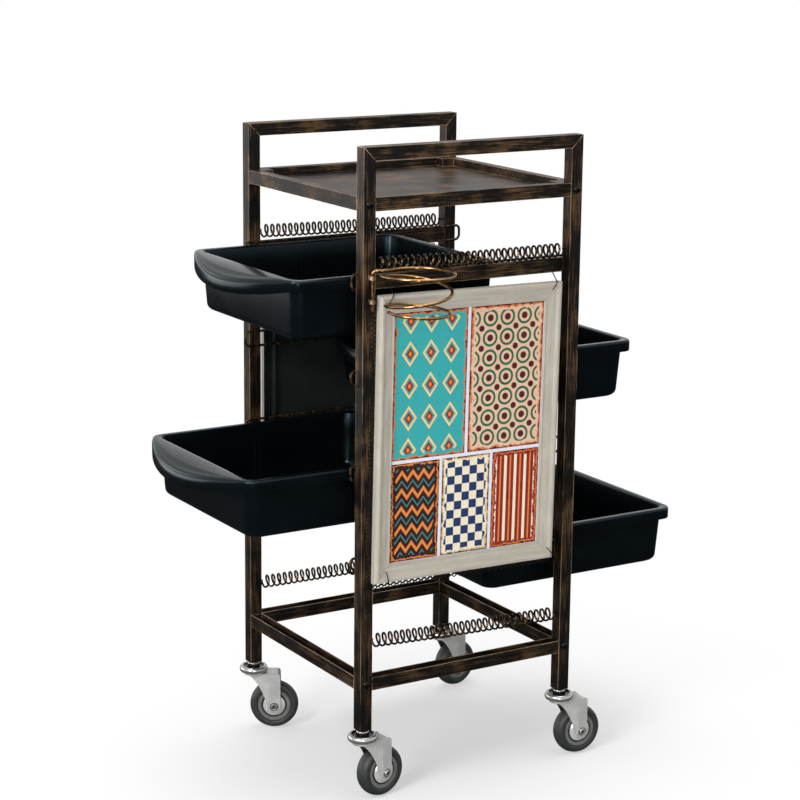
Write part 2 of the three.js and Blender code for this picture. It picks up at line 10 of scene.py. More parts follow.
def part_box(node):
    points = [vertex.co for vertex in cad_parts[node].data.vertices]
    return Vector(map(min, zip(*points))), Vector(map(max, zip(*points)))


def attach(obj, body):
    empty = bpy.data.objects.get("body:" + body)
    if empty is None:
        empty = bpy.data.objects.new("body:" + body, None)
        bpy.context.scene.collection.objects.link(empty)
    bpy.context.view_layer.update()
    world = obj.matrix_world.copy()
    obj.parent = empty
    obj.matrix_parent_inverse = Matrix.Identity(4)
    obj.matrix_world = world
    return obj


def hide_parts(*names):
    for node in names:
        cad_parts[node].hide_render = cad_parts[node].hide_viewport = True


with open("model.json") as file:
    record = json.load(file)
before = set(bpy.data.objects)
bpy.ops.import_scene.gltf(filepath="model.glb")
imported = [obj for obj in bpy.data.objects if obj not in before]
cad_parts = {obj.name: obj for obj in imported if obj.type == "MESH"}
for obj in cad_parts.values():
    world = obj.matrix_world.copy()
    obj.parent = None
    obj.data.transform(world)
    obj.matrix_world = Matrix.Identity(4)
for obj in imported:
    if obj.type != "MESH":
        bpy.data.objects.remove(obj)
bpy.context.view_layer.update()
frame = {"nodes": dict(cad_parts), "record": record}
MM = 0.001
JOINTS = {j["name"]: j for j in frame["record"]["behaviour"]["joints"]}
ROOT = "trolley_frame"


def centre(node):
    lo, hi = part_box(node)
    return [(a + b) / 2 for a, b in zip(lo, hi)]


# ---------------------------------------------------------------- material helpers
class Nodes:
    """Short calls that make and join the nodes of a tree."""

    def __init__(self, tree):
        self.tree = tree

    def put(self, socket, value):
        if isinstance(value, bpy.types.NodeSocket):
            self.tree.links.new(value, socket)
        else:
            if isinstance(value, (tuple, list)) and socket.type == "RGBA" and len(value) == 3:
                value = (*value, 1.0)
            socket.default_value = value

    def node(self, kind, *values, **props):
        node = self.tree.nodes.new("ShaderNode" + kind)
        for key, value in props.items():
            setattr(node, key, value)
        for socket, value in zip(node.inputs, values):
            if value is not None:
                self.put(socket, value)
        return node

    def math(self, operation, a, b=0.0, c=0.0):
        return self.node("Math", a, b, c, operation=operation).outputs[0]

    def vector(self, operation, a, b=(0, 0, 0)):
        node = self.node("VectorMath", a, b, operation=operation)
        return node.outputs["Value" if operation in ("LENGTH", "DOT_PRODUCT") else "Vector"]

    def plus(self, a, b):
        return self.math("ADD", a, b)

    def minus(self, a, b):
        return self.math("SUBTRACT", a, b)

    def times(self, a, b):
        return self.math("MULTIPLY", a, b)

    def ramp(self, value, low, high, start=0.0, end=1.0):
        node = self.node("MapRange", value)
        for key, number in (("From Min", low), ("From Max", high), ("To Min", start), ("To Max", end)):
            node.inputs[key].default_value = number
        return node.outputs["Result"]

    def mix(self, amount, a, b):
        node = self.node("Mix", data_type="RGBA")
        self.put(node.inputs[0], amount)
        self.put(node.inputs[6], a)
        self.put(node.inputs[7], b)
        return node.outputs[2]

    def blend(self, amount, a, b):
        node = self.node("Mix", data_type="FLOAT")
        self.put(node.inputs[0], amount)
        self.put(node.inputs[2], a)
        self.put(node.inputs[3], b)
        return node.outputs[0]


class Shader(Nodes):
    """A Principled material. Its patterns are laid out in the object's own coordinates."""

    def __init__(self, name):
        self.material = bpy.data.materials.new(name)
        self.material.use_nodes = True
        super().__init__(self.material.node_tree)
        self.bsdf = self.tree.nodes["Principled BSDF"]
        self.coords = self.node("TexCoord").outputs["Object"]

    def noise(self, scale, detail=4.0, roughness=0.6):
        node = self.node("TexNoise")
        self.put(node.inputs["Vector"], self.vector("MULTIPLY", self.coords, scale))
        self.put(node.inputs["Scale"], 1.0)
        self.put(node.inputs["Detail"], detail)
        self.put(node.inputs["Roughness"], roughness)
        return node.outputs["Fac"]

    def edges(self, radius):
        """1 on rounded outer edges and just beside them, 0 on flats."""
        geometry = self.node("NewGeometry")
        bevel = self.node("Bevel", radius, samples=4)
        facing = self.vector("DOT_PRODUCT", bevel.outputs[0], geometry.outputs["Normal"])
        parts = self.node("SeparateXYZ", self.vector("ABSOLUTE", geometry.outputs["Normal"]))
        flat = self.math("MAXIMUM", parts.outputs["X"], parts.outputs["Y"])
        flat = self.math("MAXIMUM", flat, parts.outputs["Z"])
        return self.math("MAXIMUM", self.ramp(facing, 0.985, 0.86), self.ramp(flat, 0.985, 0.88))

    def bump(self, height, distance, strength=1.0):
        node = self.node("Bump")
        self.put(node.inputs["Height"], height)
        node.inputs["Distance"].default_value = distance
        node.inputs["Strength"].default_value = strength
        self.put(self.bsdf.inputs["Normal"], node.outputs[0])

    def surface(self, **values):
        for key, value in values.items():
            self.put(self.bsdf.inputs[key.replace("_", " ")], value)
        return self.material


# Brush-stroke scales, strokes per metre: fine across the stroke and long along it.
STROKE_ACROSS = 620.0
STROKE_ALONG = 22.0
STROKES = {
    "x": (STROKE_ALONG, STROKE_ACROSS, STROKE_ACROSS),
    "y": (STROKE_ACROSS, STROKE_ALONG, STROKE_ACROSS),
    "z": (STROKE_ACROSS, STROKE_ACROSS, STROKE_ALONG),
}


def brushed_paint(name, axis, mitre=None):
    """Black-brown paint dry-brushed with copper along `axis`, and rubbed through on the edges.

    `mitre` is height less distance from the middle, in metres, where an end frame's strokes turn
    from its legs to its top rail.
    """
    s = Shader(name)
    place = s.node("SeparateXYZ", s.coords)
    fine = s.noise(STROKES[axis], 5, 0.65)
    broad = s.noise(tuple(v * 0.3 for v in STROKES[axis]), 3, 0.6)
    joint = 0.0
    if mitre is not None:
        past = s.minus(place.outputs["Z"], s.math("ABSOLUTE", place.outputs["X"]))
        past = s.minus(past, mitre)
        on_top = s.math("GREATER_THAN", past, 0.0)
        fine = s.blend(on_top, fine, s.noise(STROKES["x"], 5, 0.65))
        broad = s.blend(on_top, broad, s.noise(tuple(v * 0.3 for v in STROKES["x"]), 3, 0.6))
        joint = s.math("LESS_THAN", s.math("ABSOLUTE", past), 0.0009)
    patch = s.noise((26, 26, 26), 2, 0.5)
    speck = s.noise((420, 420, 420), 3, 0.7)
    stroke = s.plus(s.times(fine, 0.72), s.times(broad, 0.28))
    stroke = s.plus(stroke, s.times(s.minus(patch, 0.5), 0.42))
    stroke = s.plus(stroke, s.times(s.minus(speck, 0.5), 0.22))
    gold = s.times(s.ramp(stroke, 0.50, 0.66), s.ramp(place.outputs["Z"], 0.12, 0.62, 0.45, 1.0))
    colour = s.mix(s.ramp(fine, 0.3, 0.7), (0.0020, 0.0017, 0.0014), (0.0075, 0.0053, 0.0036))
    colour = s.mix(s.times(gold, 0.8), colour, (0.19, 0.106, 0.048))
    rub = s.ramp(s.plus(s.times(broad, 0.6), s.times(patch, 0.4)), 0.40, 0.56)
    worn = s.times(s.edges(0.0012), rub)
    worn = s.math("MAXIMUM", worn, s.times(joint, s.ramp(broad, 0.42, 0.6, 0.0, 0.5)))
    colour = s.mix(worn, colour, (0.80, 0.55, 0.33))
    s.bump(fine, 0.00025, 0.5)
    rough = s.plus(s.ramp(fine, 0.3, 0.7, 0.34, 0.5), s.times(gold, 0.06))
    metal = s.math("MAXIMUM", s.times(gold, 0.5), s.times(worn, 0.45))
    return s.surface(Base_Color=colour, Metallic=metal, Roughness=rough, Specular_IOR_Level=0.22)


def black_plastic(name):
    s = Shader(name)
    grain = s.noise((1700, 1700, 1700), 2, 0.5)
    haze = s.noise((14, 14, 30), 3, 0.5)
    colour = s.mix(s.ramp(haze, 0.3, 0.7), (0.0010, 0.0018, 0.0027), (0.0018, 0.0031, 0.0043))
    s.bump(grain, 0.00006, 0.2)
    rough = s.ramp(haze, 0.3, 0.75, 0.22, 0.28)
    tint = (0.58, 0.88, 1.0)
    return s.surface(Base_Color=colour, Roughness=rough, Specular_IOR_Level=0.37, Specular_Tint=tint)


def glinting_wire(name, dark, bright, low, high, metallic, roughness, dimples=0.4):
    """Wire whose dark coat lets metal glint through in patches."""
    s = Shader(name)
    spots = s.noise((230, 230, 230), 4, 0.65)
    amount = s.ramp(spots, low, high)
    colour = s.mix(amount, dark, bright)
    s.bump(spots, 0.0001, dimples)
    return s.surface(Base_Color=colour, Metallic=metallic, Roughness=roughness)


def limed_moulding(name, half):
    """Grey-beige limed wood: streaks run along each side and turn at the mitres."""
    s = Shader(name)
    parts = s.node("SeparateXYZ", s.coords)
    x = s.minus(s.math("ABSOLUTE", parts.outputs["X"]), half[0])
    z = s.minus(s.math("ABSOLUTE", parts.outputs["Z"]), half[1])
    upright = s.math("GREATER_THAN", x, z)
    along = s.blend(upright, s.noise((16, 260, 260), 5, 0.6), s.noise((260, 260, 16), 5, 0.6))
    cloud = s.noise((30, 30, 30), 3, 0.55)
    mitre = s.math("LESS_THAN", s.math("ABSOLUTE", s.minus(x, z)), 0.0004)
    colour = s.mix(s.ramp(along, 0.34, 0.66), (0.375, 0.342, 0.285), (0.455, 0.422, 0.355))
    colour = s.mix(s.times(s.ramp(cloud, 0.5, 0.72), 0.5), colour, (0.50, 0.475, 0.42))
    colour = s.mix(s.times(s.ramp(along, 0.64, 0.76), 0.3), colour, (0.20, 0.17, 0.135))
    colour = s.mix(s.times(mitre, 0.55), colour, (0.16, 0.13, 0.10))
    s.bump(along, 0.0004, 0.5)
    return s.surface(Base_Color=colour, Roughness=s.ramp(cloud, 0.3, 0.7, 0.3, 0.45))


def zinc(name, polish, tone=1.0):
    """Bright zinc plate: `polish` goes from satin pressings (0) to turned, mirror-like rings (1)."""
    s = Shader(name)
    cloud = s.noise((45, 45, 45), 3, 0.55)
    fleck = s.noise((700, 700, 700), 3, 0.6)
    low, high = 0.54 * tone, 0.68 * tone
    colour = s.mix(s.ramp(cloud, 0.35, 0.65), (low, low, low * 0.97), (high, high, high * 0.97))
    colour = s.mix(s.times(s.ramp(fleck, 0.56, 0.74), 0.3), colour, (0.30, 0.30, 0.305))
    s.bump(fleck, 0.00003, 0.25 - 0.2 * polish)
    rough = s.ramp(cloud, 0.3, 0.7, 0.30 - 0.10 * polish, 0.40 - 0.12 * polish)
    return s.surface(Base_Color=colour, Metallic=0.35 + 0.5 * polish, Roughness=rough)


def rubber(name, low, high, roughness):
    s = Shader(name)
    cloud = s.noise((70, 70, 70), 4, 0.6)
    grain = s.noise((1500, 1500, 1500), 2, 0.5)
    s.bump(grain, 0.0001, 0.4)
    return s.surface(Base_Color=s.mix(s.ramp(cloud, 0.3, 0.7), low, high), Roughness=roughness)


def dark_board(name):
    s = Shader(name)
    cloud = s.noise((9, 9, 9), 3, 0.5)
    s.bump(cloud, 0.004, 0.15)
    colour = s.mix(s.ramp(cloud, 0.3, 0.7), (0.009, 0.0115, 0.0125), (0.020, 0.0215, 0.021))
    return s.surface(Base_Color=colour, Roughness=s.ramp(cloud, 0.3, 0.7, 0.16, 0.28))


# ---------------------------------------------------------------- printed panel
RAGGED = 16.0    # millimetres of noise on a worn edge


class Print(Shader):
    """A printed sheet laid up from plain shapes. Positions are millimetres in the sheet's plane."""

    def __init__(self, name, paper):
        super().__init__(name)
        self.place = self.vector("MULTIPLY", self.coords, (1000, 0, 1000))
        self.wobble = self.minus(self.noise((95, 0, 95), 5, 0.75), 0.5)
        self.colour = self.mix(0.0, paper, paper)

    def inside(self, u0, u1, v0, v1, ragged=0.0):
        """Distance inside a rectangle's edge, less the ragged noise."""
        middle = ((u0 + u1) / 2, 0, (v0 + v1) / 2)
        away = self.vector("ABSOLUTE", self.vector("SUBTRACT", self.place, middle))
        parts = self.node("SeparateXYZ", away)
        du = self.minus((u1 - u0) / 2, parts.outputs["X"])
        dv = self.minus((v1 - v0) / 2, parts.outputs["Z"])
        depth = self.math("MINIMUM", du, dv)
        if ragged:
            depth = self.plus(depth, self.times(self.wobble, ragged))
        return depth

    def lay(self, mask, colour):
        self.colour = self.mix(mask, self.colour, colour)

    def rect(self, u0, u1, v0, v1, colour, ragged=0.0, inset=0.0):
        self.lay(self.math("GREATER_THAN", self.inside(u0, u1, v0, v1, ragged), inset), colour)

    def lattice(self, u0, v0, across, up):
        """Distances across and up to the nearest point of a lattice that starts at (u0, v0)."""
        parts = self.node("SeparateXYZ", self.vector("SUBTRACT", self.place, (u0, 0, v0)))
        du = self.math("PINGPONG", parts.outputs["X"], across / 2)
        dv = self.math("PINGPONG", parts.outputs["Z"], up / 2)
        return du, dv

    def inlay(self, mask, rect, colour, margin):
        """Lay a pattern inside a rectangle, less a ragged margin."""
        clip = self.math("GREATER_THAN", self.inside(*rect, RAGGED), margin)
        self.lay(self.times(mask, clip), colour)

    def diamonds(self, rect, across, up, size, colour, margin, shift=0.0):
        u0, u1, v0, v1 = rect
        start = ((u0 + u1) / 2 + shift * across, (v0 + v1) / 2 + shift * up)
        du, dv = self.lattice(*start, across, up)
        reach = self.plus(self.math("DIVIDE", du, across), self.math("DIVIDE", dv, up))
        self.inlay(self.math("LESS_THAN", reach, size), rect, colour, margin)

    def discs(self, rect, step, radius, colour, margin, shift=0.0):
        u0, u1, v0, v1 = rect
        start = ((u0 + u1) / 2 + shift * step, (v0 + v1) / 2 + shift * step)
        du, dv = self.lattice(*start, step, step)
        squared = self.plus(self.times(du, du), self.times(dv, dv))
        self.inlay(self.math("LESS_THAN", squared, radius * radius), rect, colour, margin)

    def zigzags(self, rect, across, height, period, half, colour, margin, shift=0.0):
        u0, u1, v0, v1 = rect
        du, _ = self.lattice(u0, v0, across, period)
        rise = self.times(du, 2 * height / across)
        level = self.node("SeparateXYZ", self.place).outputs["Z"]
        level = self.plus(self.minus(level, v0 + shift * period), rise)
        near = self.math("PINGPONG", level, period / 2)
        self.inlay(self.math("LESS_THAN", near, half), rect, colour, margin)

    def checks(self, rect, step, colour, margin):
        u0, u1, v0, v1 = rect
        du, dv = self.lattice((u0 + u1) / 2, (v0 + v1) / 2, 2 * step, 2 * step)
        column, row = (self.math("LESS_THAN", d, step / 2) for d in (du, dv))
        odd = self.math("ABSOLUTE", self.minus(column, row))
        self.inlay(odd, rect, colour, margin)

    def stripes(self, rect, step, half, colour, margin, shift=0.0):
        u0, u1, v0, v1 = rect
        du, _ = self.lattice((u0 + u1) / 2 + shift * step, v0, step, step)
        self.inlay(self.math("LESS_THAN", du, half), rect, colour, margin)

    def done(self):
        """Light scratches over the print, and a gloss finish."""
        scratch = self.noise((500, 0, 500), 4, 0.7)
        self.lay(self.ramp(scratch, 0.63, 0.70, 0.0, 0.35), (0.42, 0.30, 0.24))
        gloss = self.ramp(self.noise((25, 25, 25), 3, 0.5), 0.3, 0.7, 0.25, 0.36)
        return self.surface(Base_Color=self.colour, Roughness=gloss, Specular_IOR_Level=0.35)


TEAL = (0.035, 0.36, 0.37)
RUST = (0.62, 0.17, 0.035)
MAROON = (0.085, 0.012, 0.016)
INK = (0.018, 0.012, 0.016)
STRAW = (0.78, 0.56, 0.24)
PEACH = (0.72, 0.48, 0.34)
CREAM = (0.80, 0.72, 0.53)
GREEN = (0.014, 0.13, 0.062)
RED = (0.26, 0.018, 0.016)
ORANGE = (0.72, 0.22, 0.04)
NAVY = (0.017, 0.038, 0.13)
BROWN = (0.035, 0.014, 0.016)
OCHRE = (0.62, 0.42, 0.20)
DARK_TEAL = (0.04, 0.24, 0.24)


# Each print: field, border and edge colours, then the patterns laid on it, one over the other.
MARGIN = 8
PRINTS = {
    "diamonds": (TEAL, RUST, MAROON, (
        (Print.diamonds, 34, 46, 0.40, STRAW, MARGIN), (Print.diamonds, 34, 46, 0.29, TEAL, MARGIN),
        (Print.diamonds, 34, 46, 0.20, RED, MARGIN), (Print.diamonds, 34, 46, 0.09, ORANGE, MARGIN))),
    "rings": (PEACH, RUST, MAROON, (
        (Print.discs, 29, 12.5, GREEN, MARGIN), (Print.discs, 29, 9.0, PEACH, MARGIN),
        (Print.discs, 29, 5.0, MAROON, MARGIN), (Print.discs, 29, 4.6, MAROON, MARGIN, 0.5))),
    "zigzags": (BROWN, ORANGE, INK, (
        (Print.zigzags, 18, 12, 26, 3.4, ORANGE, MARGIN),
        (Print.zigzags, 18, 12, 26, 1.4, DARK_TEAL, MARGIN, 0.5))),
    "checks": (CREAM, OCHRE, INK, (
        (Print.checks, 12.5, NAVY, MARGIN - 2),)),
    "stripes": (RED, RUST, MAROON, (
        (Print.stripes, 17, 2.4, CREAM, MARGIN - 1), (Print.stripes, 17, 1.2, ORANGE, MARGIN - 1, 0.5))),
}


def print_tile(pattern, rect):
    """A print with a ragged two-colour worn border round its patterned field."""
    field, border, edge, layers = PRINTS[pattern]
    tile = Print("print_" + pattern, edge)
    tile.rect(*rect, border, RAGGED, 1.6)
    tile.rect(*rect, field, RAGGED + 4.0, 3.8)
    for draw, *values in layers:
        draw(tile, rect, *values)
    return tile.done()


GAP, BORDER = 5.0, 1
LOWER_SHARE, LEFT_SHARE = 0.405, 0.495


def print_layout(width, height):
    """Two tall tiles over three small ones, with white gaps: [(rectangle, pattern)]."""
    left, right = BORDER - width / 2, width / 2 - BORDER
    bottom, top = BORDER - height / 2, height / 2 - BORDER
    split = bottom + LOWER_SHARE * (top - bottom)
    middle = left + LEFT_SHARE * (right - left)
    third = (right - left - 2 * GAP) / 3
    lower, upper = split - GAP / 2, split + GAP / 2
    first = left + third
    start, end = first + GAP, first + GAP + third
    return [
        ((left, middle - GAP / 2, upper, top), "diamonds"),
        ((middle + GAP / 2, right, upper, top), "rings"),
        ((left, first, bottom, lower), "zigzags"),
        ((start, end, bottom, lower), "checks"),
        ((end + GAP, right, bottom, lower), "stripes"),
    ]


# ---------------------------------------------------------------- mesh helpers
def build(name, verts, faces, material, body, replaces=(), slot=None, matrix=None, sharp=35, indices=None):
    """Makes one piece, shades it smooth except at sharp edges, and lets it ride on a body."""
    data = bpy.data.meshes.new(name)
    data.from_pydata([tuple(v) for v in verts], [], [tuple(f) for f in faces])
    materials = material if isinstance(material, (list, tuple)) else [material]
    for item in materials:
        data.materials.append(item)
    if indices is not None:
        data.polygons.foreach_set("material_index", indices)
    data.polygons.foreach_set("use_smooth", [True] * len(data.polygons))
    data.validate()
    data.update()
    data.set_sharp_from_angle(angle=math.radians(sharp))
    piece = bpy.data.objects.new(name, data)
    bpy.context.scene.collection.objects.link(piece)
    if matrix is not None:
        piece.matrix_world = matrix
    bpy.context.view_layer.update()
    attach(piece, body)
    if replaces:
        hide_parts(*replaces)
    return piece


def grid_faces(rows, columns, wrap_rows=False):
    """Quads between rings of points; each ring closes on itself."""
    faces = []
    for i in range(rows if wrap_rows else rows - 1):
        this, following = i * columns, ((i + 1) % rows) * columns
        for j in range(columns):
            k = (j + 1) % columns
            faces.append((this + j, this + k, following + k, following + j))
    return faces


def flipped(faces):
    return [tuple(reversed(face)) for face in faces]


def sweep(points, radius, sides=10, closed=False):
    """A round wire along points, with frames carried along it without twist."""
    p = np.array(points, float)
    n = len(p)
    ahead = np.roll(p, -1, 0) if closed else np.vstack([p[1:], 2 * p[-1] - p[-2]])
    behind = np.roll(p, 1, 0) if closed else np.vstack([2 * p[0] - p[1], p[:-1]])
    tangent = ahead - behind
    tangent /= np.linalg.norm(tangent, axis=1)[:, None]
    side = np.cross(tangent[0], (0, 0, 1) if abs(tangent[0][2]) < 0.9 else (1, 0, 0))
    frames = []
    for t in tangent:
        side = side - t * side.dot(t)
        side /= np.linalg.norm(side)
        frames.append((side, np.cross(t, side)))
    turn = 0.0
    if closed:
        carried = frames[-1][0] - tangent[0] * frames[-1][0].dot(tangent[0])
        turn = math.atan2(carried.dot(frames[0][1]), carried.dot(frames[0][0]))
    verts = []
    for i, (a, b) in enumerate(frames):
        for k in range(sides):
            angle = 2 * math.pi * k / sides - turn * i / n
            verts.append(p[i] + radius * (math.cos(angle) * a + math.sin(angle) * b))
    faces = grid_faces(n, sides, wrap_rows=closed)
    if not closed:
        faces.append(tuple(reversed(range(sides))))
        faces.append(tuple(range((n - 1) * sides, n * sides)))
    return verts, faces


def smooth_path(points, per_segment=8):
    """A Catmull-Rom curve through the points."""
    p = np.array(points, float)
    p = np.vstack([2 * p[0] - p[1], p, 2 * p[-1] - p[-2]])
    out = []
    for i in range(1, len(p) - 2):
        a, b, c, d = p[i - 1], p[i], p[i + 1], p[i + 2]
        for k in range(per_segment):
            t = k / per_segment
            out.append(0.5 * (2 * b + (c - a) * t + (2 * a - 5 * b + 4 * c - d) * t * t
                              + (3 * b - a - 3 * c + d) * t ** 3))
    out.append(p[-2])
    return out


def lathe(profile, segments=48, axis="z", six_sided=()):
    """Turns (radius, height) points about an axis. Radius 0 at an end closes on the axis, and the
    rings numbered in `six_sided` are hexagons."""
    verts, faces, rings = [], [], []
    for index, (r, h) in enumerate(profile):
        if r < 1e-9:
            rings.append([len(verts)] * segments)
            verts.append((0, 0, h))
            continue
        rings.append(list(range(len(verts), len(verts) + segments)))
        for k in range(segments):
            angle = 2 * math.pi * k / segments
            reach = r
            if index in six_sided:
                reach = r / math.cos((angle % (math.pi / 3)) - math.pi / 6) * 0.9
            verts.append((reach * math.cos(angle), reach * math.sin(angle), h))
    for low, high in zip(rings, rings[1:]):
        for k in range(segments):
            m = (k + 1) % segments
            face = tuple(dict.fromkeys((low[k], low[m], high[m], high[k])))
            if len(face) > 2:
                faces.append(face)
    if axis == "y":
        verts = [(x, -z, y) for x, y, z in verts]
    return verts, faces


def prism(outline, low, high, rounding=0.0005):
    """A plate in the XZ plane, thick along Y, its outline edges softly rounded."""
    p = np.array(outline, float)
    n = len(p)
    ahead, behind = np.roll(p, -1, 0) - p, p - np.roll(p, 1, 0)
    normal = ahead / np.linalg.norm(ahead, axis=1)[:, None] + behind / np.linalg.norm(behind, axis=1)[:, None]
    normal = np.stack([-normal[:, 1], normal[:, 0]], 1)
    normal /= np.linalg.norm(normal, axis=1)[:, None]
    area = np.sum(p[:, 0] * np.roll(p[:, 1], -1) - np.roll(p[:, 0], -1) * p[:, 1])
    if area < 0:
        normal = -normal
    verts = []
    for y, inset in ((low, rounding), (low + rounding, 0), (high - rounding, 0), (high, rounding)):
        for point, inward in zip(p, normal):
            q = point + inward * inset
            verts.append((q[0], y, q[1]))
    faces = grid_faces(4, n)
    faces.append(tuple(reversed(range(n))))
    faces.append(tuple(range(3 * n, 4 * n)))
    return verts, flipped(faces) if area > 0 else faces


def scaled(profile):
    return [(a * MM, b * MM) for a, b in profile]


def join(*parts):
    """Several meshes in one."""
    verts, faces = [], []
    for part_verts, part_faces in parts:
        faces += [tuple(i + len(verts) for i in f) for f in part_faces]
        verts += [tuple(v) for v in part_verts]
    return verts, faces


# ---------------------------------------------------------------- materials
frame_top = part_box("end_frame_near")[1][2]
frame_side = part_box("end_frame_near")[1][0]
paint_legs = brushed_paint("paint_end_frame", "z", frame_top - frame_side)
paint_x = brushed_paint("paint_along_x", "x")
paint_y = brushed_paint("paint_along_y", "y")
plastic = black_plastic("tray_plastic")
spring_metal = glinting_wire(
    "spring_wire", (0.005, 0.0045, 0.004), (0.55, 0.34, 0.17), 0.50, 0.70, 0.85, 0.26, 0.1)
rail_metal = glinting_wire(
    "rail_wire", (0.012, 0.009, 0.007), (0.24, 0.16, 0.09), 0.46, 0.72, 0.75, 0.32)
copper = glinting_wire(
    "copper_wire", (0.27, 0.14, 0.055), (0.48, 0.27, 0.115), 0.30, 0.66, 1.0, 0.20, 0.03)
black_wire = glinting_wire("black_wire", (0.004, 0.004, 0.004), (0.03, 0.03, 0.03), 0.5, 0.8, 0.1, 0.35)
mesh_metal = glinting_wire("mesh_metal", (0.004, 0.004, 0.004), (0.03, 0.027, 0.022), 0.5, 0.75, 0.4, 0.4)
bolt_metal = glinting_wire("bolt_metal", (0.004, 0.004, 0.004), (0.05, 0.045, 0.04), 0.5, 0.8, 0.5, 0.2)
zinc_metal = zinc("zinc", 0.0, 0.92)
shaded_zinc = zinc("shaded_zinc", 0.0, 0.12)
guard_zinc = zinc("guard_zinc", 0.2, 1.2)
bright_zinc = zinc("bright_zinc", 1.0, 0.85)
bolt_zinc = zinc("bolt_zinc", 0.5, 0.7)
# painted shade: a near-black colour for the core's recessed gap beside the guards, where shade falls
gap_painted_shade = rubber("gap_painted_shade", (0.003, 0.003, 0.003), (0.006, 0.006, 0.006), 0.7)
tyre_rubber = rubber("tyre_rubber", (0.018, 0.021, 0.021), (0.030, 0.034, 0.034), 0.5)
core_plastic = rubber("core_plastic", (0.11, 0.11, 0.11), (0.16, 0.158, 0.155), 0.45)
board = dark_board("dark_board")

# ---------------------------------------------------------------- carried-over steelwork
PAINTED = {
    "end_frame_near": paint_legs, "end_frame_far": paint_legs,
    "cross_bar_near": paint_x, "cross_bar_far": paint_x, "top_tray": paint_x,
    "bottom_channel_near": paint_x, "bottom_channel_far": paint_x,
    "bottom_channel_left": paint_y, "bottom_channel_right": paint_y,
}
for node, material in PAINTED.items():
    shown = frame["nodes"][node]
    shown.data.materials.clear()
    shown.data.materials.append(material)
    soften = shown.modifiers.new("rounded_edges", "BEVEL")
    soften.width = 1.0 * MM if node.startswith("end_frame") else 0.5 * MM
    soften.segments = 2
    soften.limit_method = "ANGLE"
    soften.angle_limit = math.radians(50)
    soften.harden_normals = True

# ---------------------------------------------------------------- rails
ROD = 2.0 * MM             # radius of the rod
ROD_BEND = 7 * MM          # radius of the loop's end bends
STEP_LENGTH = 4.5 * MM     # the loop steps outwards over this length past its bends' centres
for level in range(1, 5):
    for side, sign in (("near", -1), ("far", 1)):
        node = f"rail_{level}_{side}"
        lo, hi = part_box(node)
        inner = (hi[1] - ROD) if sign < 0 else (lo[1] + ROD)
        outer = (lo[1] + ROD) if sign < 0 else (hi[1] - ROD)
        half_x = (hi[0] - lo[0]) / 2 - ROD
        middle_z, rise = (lo[2] + hi[2]) / 2, (hi[2] - lo[2]) / 2 - ROD
        straight = half_x - ROD_BEND
        points = []
        for end in (1, -1):
            for k in range(17):
                angle = math.radians(-90 + 180 * k / 16)
                x = straight + ROD_BEND * math.cos(angle)
                z = (rise - ROD_BEND) * (1 if k > 8 else -1) + ROD_BEND * math.sin(angle)
                if k == 8:
                    z = 0.0
                blend = min(1.0, max(0.0, (x - straight) / STEP_LENGTH))
                y = inner + (outer - inner) * blend * blend * (3 - 2 * blend)
                points.append((end * x, y, middle_z + end * z))
        verts, faces = sweep(points, ROD, 12, closed=True)
        build(node + "_wire", verts, faces, rail_metal, ROOT, [node], "frame_steel")

# ---------------------------------------------------------------- springs
SPRING_SLOPE = {"upper_near": -3, "upper_far": -4, "lower_near": -11, "lower_far": 0}
SPRING_TURNS, SPRING_RADIUS, SPRING_WIRE, SPRING_SAG = 31, 8.9 * MM, 1.6 * MM, 1.5 * MM
POINTS_PER_TURN = 20
for key, slope in SPRING_SLOPE.items():
    node = "spring_" + key
    lo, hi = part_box(node)
    mid = centre(node)
    reach = (hi[0] - lo[0]) / 2
    coil = reach - 4 * MM
    points = [(-reach, 0, 0), (-reach + 1.5 * MM, 0, 0)]
    steps = SPRING_TURNS * POINTS_PER_TURN
    for k in range(steps + 1):
        t = k / steps
        angle = 2 * math.pi * SPRING_TURNS * t
        grow = min(1.0, t * SPRING_TURNS * 2.0, (1 - t) * SPRING_TURNS * 2.0)
        radius = SPRING_RADIUS * grow
        points.append(((2 * t - 1) * coil, radius * math.sin(angle), radius * math.cos(angle)))
    points += [(reach - 1.5 * MM, 0, 0), (reach, 0, 0)]
    placed = []
    for x, y, z in points:
        t = x / reach
        drop = SPRING_SAG * (1 - t * t) - slope * MM * t / 2
        placed.append((mid[0] + x, mid[1] + y, mid[2] + z - drop))
    verts, faces = sweep(placed, SPRING_WIRE, 8)
    build(node + "_coil", verts, faces, spring_metal, ROOT, [node], "spring_wire", sharp=60)

# ---------------------------------------------------------------- trays
TRAY = {
    "length": 347, "width": 310, "corner": 20, "depth": 87, "wall": 2.4, "rim": 16.5,
    "overhang": 9, "draft": 5, "body_corner": 18, "bulge": 36, "handle_half": 141,
    "drop": 8, "skirt": 29, "edge_roll": 3.2, "handle_roll": 12, "floor_round": 10, "lip_round": 2.6,
}
RIB_LEVELS, RIB_SPACING, RIB_RADIUS_MM = (27, 40, 60, 83), 9, 1.5


def bulge_at(y):
    half, deep = TRAY["handle_half"], TRAY["bulge"]
    radius = (half * half + deep * deep) / (2 * deep)
    if abs(y) >= half:
        return 0.0
    return math.sqrt(radius * radius - y * y) - (radius - deep)


